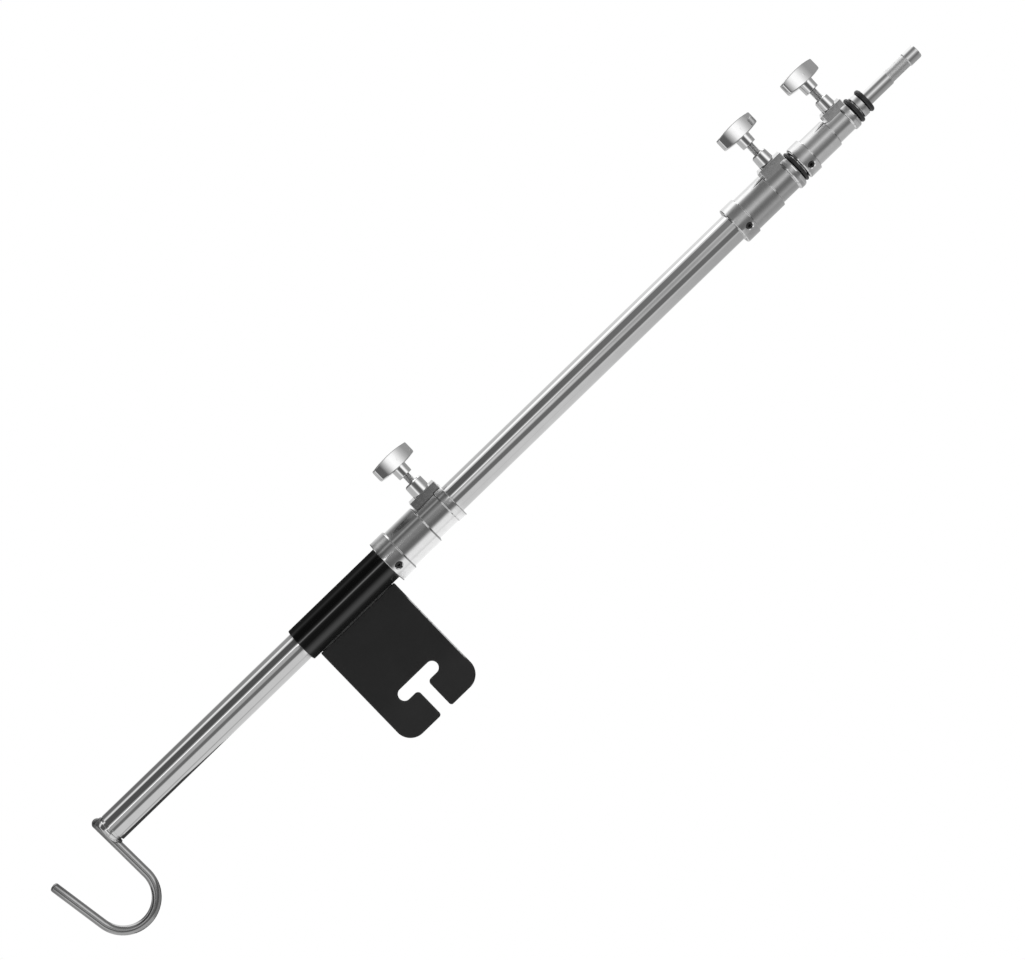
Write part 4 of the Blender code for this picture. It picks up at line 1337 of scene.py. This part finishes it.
def make_floor():
    """Pale floor that stays white to the camera apart from the arm's soft shadow."""
    shape = bmesh.new()
    bmesh.ops.create_circle(shape, cap_ends=True, segments=FLOOR_SIDES, radius=FLOOR_RADIUS)
    floor = mesh_object("studio_floor", shape, Matrix.Translation((CAMERA_X, 0, FLOOR_Z)))
    look = Look("floor_paper")
    paper = look.mix_colour(look.noise(scale=0.002), *map(grey, FLOOR_TONES))
    look.feed(look.shader["Base Color"], paper)
    look.feed(look.shader["Roughness"], FLOOR_ROUGHNESS)
    floor.data.materials.append(look.material)
    floor.visible_glossy = False


@dataclass
class NearCard:
    """A card bent round a stretch of the arm, well clear of it.

    Its girth is the radius of what it is reflected in, and its tones are (angle of the reflection in
    degrees, level).
    """

    start: float
    end: float
    girth: float
    tones: tuple


SLEEVE_TONES = (
    (-178, 0.05), (-128, 0.07), (-110, 0.13), (-96, 0.22), (-83, 0.55), (-74, 1.15), (-62, 1.4),
    (-48, 1.1), (-36, 0.45), (-26, 0.12), (-4, 0.12), (6, 0.22), (10, 0.4), (13, 1.3), (16, 3.7), (19, 2.6),
    (23, 0.6), (28, 0.2), (34, 0.1), (40, 0.035), (70, 0.04), (80, 0.16), (91, 0.48), (105, 0.17),
    (113, 0.1), (140, 0.05),
)
LARGE_TONES = (
    (-178, 1.35), (-92, 1.32), (-85, 1.08), (-79, 1.15), (-70, 1.26), (-52, 1.22), (-45, 1.0), (-38, 0.56),
    (-33, 0.32), (-27, 0.2), (-15, 0.19), (-6, 0.24), (0, 0.29), (12, 0.32), (23, 0.42), (31, 0.32),
    (39, 0.2), (45, 0.15), (50, 0.24), (54, 0.44), (58, 0.44), (62, 0.26), (67, 0.18), (77, 0.19),
    (88, 0.27), (96, 0.29), (106, 0.22), (114, 0.26), (124, 0.44), (133, 0.63), (144, 0.82), (160, 1.0),
)
FLANGE_TONES = tuple(tone for tone in LARGE_TONES if tone[0] < 75) + (
    (78, 0.31), (87, 0.58), (97, 0.82), (107, 0.55), (118, 0.46), (131, 0.68), (155, 0.9),
)
MEDIUM_TONES = (
    (-178, 0.6), (-122, 0.48), (-92, 0.42), (-75, 0.5), (-64, 0.44), (-54, 0.33), (-44, 0.24), (-30, 0.21),
    (-20, 0.26), (-13, 0.37), (-4, 0.6), (5, 0.72), (18, 0.56), (27, 0.38), (36, 0.27), (50, 0.22),
    (62, 0.24), (70, 0.32), (76, 0.43), (82, 0.62), (88, 1.0), (94, 1.5), (104, 1.65), (114, 1.6),
    (126, 1.2), (150, 1.1),
)
SMALL_TONES = (
    (-178, 0.8), (-123, 0.64), (-67, 0.66), (-61, 0.59), (-55, 0.43), (-49, 0.29), (-40, 0.23), (-30, 0.26),
    (-21, 0.33), (-10, 0.5), (-5, 0.62), (1, 0.76), (7, 0.85), (13, 0.78), (22, 0.56), (33, 0.39),
    (45, 0.33), (56, 0.41), (62, 0.5), (69, 0.67), (75, 0.94), (82, 1.25), (90, 1.5), (110, 1.55),
    (150, 1.0),
)
PIN_TONES = (
    (-178, 0.6), (-139, 0.5), (-97, 0.47), (-68, 0.36), (-50, 0.24), (-38, 0.24), (-20, 0.5), (-9, 0.88),
    (1, 1.15), (10, 0.98), (23, 0.57), (35, 0.34), (46, 0.26), (58, 0.3), (68, 0.48), (80, 1.1),
    (95, 1.5), (150, 1.4),
)
FLANGE_FRONT = SLEEVE_COLLAR.rear + SLEEVE_COLLAR.flange_end
FERRULE_REAR = along("pin_ferrule")[0]
PIN_CARD_END = along("baby_pin")[1] + 5 * MM
NEAR_CARDS = {
    "sleeve_card": NearCard(SLEEVE_REAR, SLEEVE_COLLAR.rear, girth=19.05 * MM, tones=SLEEVE_TONES),
    "flange_card": NearCard(SLEEVE_COLLAR.rear, FLANGE_FRONT, girth=24.8 * MM, tones=FLANGE_TONES),
    "large_card": NearCard(FLANGE_FRONT, along("sleeve_collar")[1], girth=22.0 * MM, tones=LARGE_TONES),
    "medium_card": NearCard(BOOM_COLLAR.rear, MIDDLE_COLLAR.rear, girth=19.6 * MM, tones=MEDIUM_TONES),
    "small_card": NearCard(MIDDLE_COLLAR.rear, FERRULE_REAR, girth=16.1 * MM, tones=SMALL_TONES),
    "pin_card": NearCard(FERRULE_REAR, PIN_CARD_END, girth=7.9 * MM, tones=PIN_TONES),
}
CARD_RADIUS = 400 * MM
CARD_PITCH = 5
# The facing weights over which a see-through card fades away
CARD_FADE = (0.03, 0.05)


def glowing(see_through):
    """Material that shines at the level kept in the mesh, where 1 is the white of the background.

    A see-through card only shows in what faces it squarely, so that upright pieces see past it.
    """
    material = bpy.data.materials.new("see_through_card" if see_through else "glowing_card")
    nodes = Nodes(material)
    nodes.tree.nodes.clear()
    level = nodes.add('ShaderNodeAttribute', attribute_name="level").outputs["Fac"]
    surface = nodes.fed(nodes.add('ShaderNodeEmission'), ("Strength",), (level,)).outputs[0]
    if see_through:
        facing = nodes.add('ShaderNodeLayerWeight').outputs["Facing"]
        clear = nodes.add('ShaderNodeBsdfTransparent').outputs[0]
        fade = nodes.remap(facing, *CARD_FADE)
        surface = nodes.fed(nodes.add('ShaderNodeMixShader'), range(3), (fade, surface, clear)).outputs[0]
    nodes.feed(nodes.add('ShaderNodeOutputMaterial').inputs["Surface"], surface)
    return material


def reflector(name, rows, material):
    """A sheet of card that only reflections see, through rows of (corner, level)."""
    shape = bmesh.new()
    level_layer = shape.verts.layers.float.new("level")
    made = []
    for row in rows:
        made.append([shape.verts.new(corner) for corner, _ in row])
        for vertex, (_, level) in zip(made[-1], row):
            vertex[level_layer] = level
    for lower, upper in zip(made, made[1:]):
        for spot in range(len(lower) - 1):
            shape.faces.new((lower[spot], lower[spot + 1], upper[spot + 1], upper[spot]))
    card = mesh_object(name, shape)
    card.data.materials.append(material)
    card.visible_camera = False
    card.visible_diffuse = False
    card.visible_shadow = False
    card.visible_transmission = False


def card_angle(reflection, girth, radius):
    """Where on a round card the reflection of a rod inside it lies, both in degrees."""
    half = math.radians(reflection / 2)
    return reflection - math.degrees(math.asin(girth / radius * math.sin(half)))


def level_at(tones, angle):
    """Level at an angle, between the two nearest tones."""
    for (low, first), (high, second) in zip(tones, tones[1:]):
        if low <= angle <= high:
            return first + (second - first) * (angle - low) / (high - low)
    return tones[0][1] if angle < tones[0][0] else tones[-1][1]


def round_card(name, card, angles, starts, radius, material):
    """A card on a circle round the arm, through angles of reflection and where each row starts."""
    rows = []
    for angle, start in zip(angles, starts):
        turn = math.radians(card_angle(angle, card.girth, radius))
        y, z = AXIS_Y - radius * math.cos(turn), AXIS_Z + radius * math.sin(turn)
        level = level_at(card.tones, angle)
        spots = [x + (x - CAMERA_X) / CAMERA_DISTANCE * radius for x in (start, card.end)]
        rows.append([((x, y, z), level) for x in spots])
    reflector(name, rows, material)


def make_near_cards(material):
    for name, card in NEAR_CARDS.items():
        pitched = range(-180 + CARD_PITCH, 180, CARD_PITCH)
        angles = sorted({angle for angle, _ in card.tones} | set(pitched))
        round_card(name, card, angles, [card.start] * len(angles), CARD_RADIUS, material)


# Dark shape that each block throws into the barrel beside it: its level, how far short of the block it
# stops, and for angles of the reflection, how far it reaches back
SADDLES = (
    (0.08, 8, ((75, 20), (82, 28), (90, 32), (98, 32), (106, 22))),
    (0.22, 0, ((60, 17), (72, 14), (84, 10), (94, 6), (108, 5), (112, 10), (116, 5))),
    (0.30, 0, ((58, 15), (68, 12), (80, 8), (90, 4), (104, 4), (112, 8), (116, 4))),
)
SADDLE_RADIUS = CARD_RADIUS - 5 * MM


def make_saddles(material):
    for collar, (level, short, shape) in zip(COLLARS, SADDLES):
        foot = collar.rear + collar.barrel_end
        card = NearCard(foot, foot - short * MM, collar.barrel_d / 2, ((-180, level), (180, level)))
        angles = [angle for angle, _ in shape]
        starts = [foot - reach * MM for _, reach in shape]
        round_card(f"{collar.section}_saddle", card, angles, starts, SADDLE_RADIUS, material)


KNOB_CARD_AWAY = 0.08
KNOB_CARD_REACH = (-40 * MM, 28 * MM)
KNOB_CARD_RISE = 60 * MM
KNOB_CARD_LEVEL = 0.16


def make_knob_cards(material):
    """A dark card in front of each knob, for the dark line down the middle of its round parts."""
    for collar in COLLARS:
        x = collar.rear + collar.knob_at
        y = AXIS_Y - KNOB_CARD_AWAY
        foot = AXIS_Z + collar.block_top
        heights_of_row = (foot, foot + KNOB_CARD_RISE)
        rows = [[((x + reach, y, z), KNOB_CARD_LEVEL) for z in heights_of_row] for reach in KNOB_CARD_REACH]
        reflector(f"{collar.section}_knob_flag", rows, material)


# Dark card under the boom's rear end: its height, its level, and the place along the arm and the reach
# from front to back of each row
UNDER_CARD_Z = -0.06
UNDER_CARD_LEVEL = 0.06
UNDER_CARD = ((-0.40, 0.012, 0.34), (-0.25, 0.042, 0.34), (-0.205, 0.12, 0.34))


def make_under_card(material):
    """A dark card below and behind the boom, for the dark line along its lower edge."""
    rows = [[((x, y, UNDER_CARD_Z), UNDER_CARD_LEVEL) for y in reach] for x, *reach in UNDER_CARD]
    reflector("under_card", rows, material)


def make_lamp():
    """One large soft lamp above and to the left, which reflections don't show."""
    data = bpy.data.lights.new("soft_box", 'AREA')
    data.shape = 'SQUARE'
    data.size = LAMP_SIZE
    data.energy = LAMP_POWER
    lamp = bpy.data.objects.new("soft_box", data)
    bpy.context.scene.collection.objects.link(lamp)
    lamp.location = ARM_MIDDLE + LAMP_AWAY
    lamp.rotation_euler = (-LAMP_AWAY).to_track_quat('-Z', 'Y').to_euler()
    lamp.visible_glossy = False


def make_camera():
    """Camera square to the arm and rolled, so that the arm climbs to the upper right."""
    data = bpy.data.cameras.new("camera")
    data.sensor_width = SENSOR
    data.lens = SENSOR * CAMERA_DISTANCE / FRAME_WIDTH
    data.clip_end = FARTHEST
    camera = bpy.data.objects.new("camera", data)
    bpy.context.scene.collection.objects.link(camera)
    spot = Matrix.Translation((CAMERA_X, AXIS_Y - CAMERA_DISTANCE, AXIS_Z - CAMERA_DROP))
    right = Vector((math.cos(CAMERA_ROLL), 0, -math.sin(CAMERA_ROLL)))
    up = Vector((math.sin(CAMERA_ROLL), 0, math.cos(CAMERA_ROLL)))
    camera.matrix_world = spot @ Matrix((right, up, (0, -1, 0))).transposed().to_4x4()
    bpy.context.scene.camera = camera


build_arm()
make_world()
make_floor()
see_through_card = glowing(see_through=True)
make_near_cards(see_through_card)
make_saddles(see_through_card)
make_knob_cards(see_through_card)
make_under_card(glowing(see_through=False))
make_lamp()
make_camera()
bpy.context.scene.view_settings.view_transform = 'Standard'
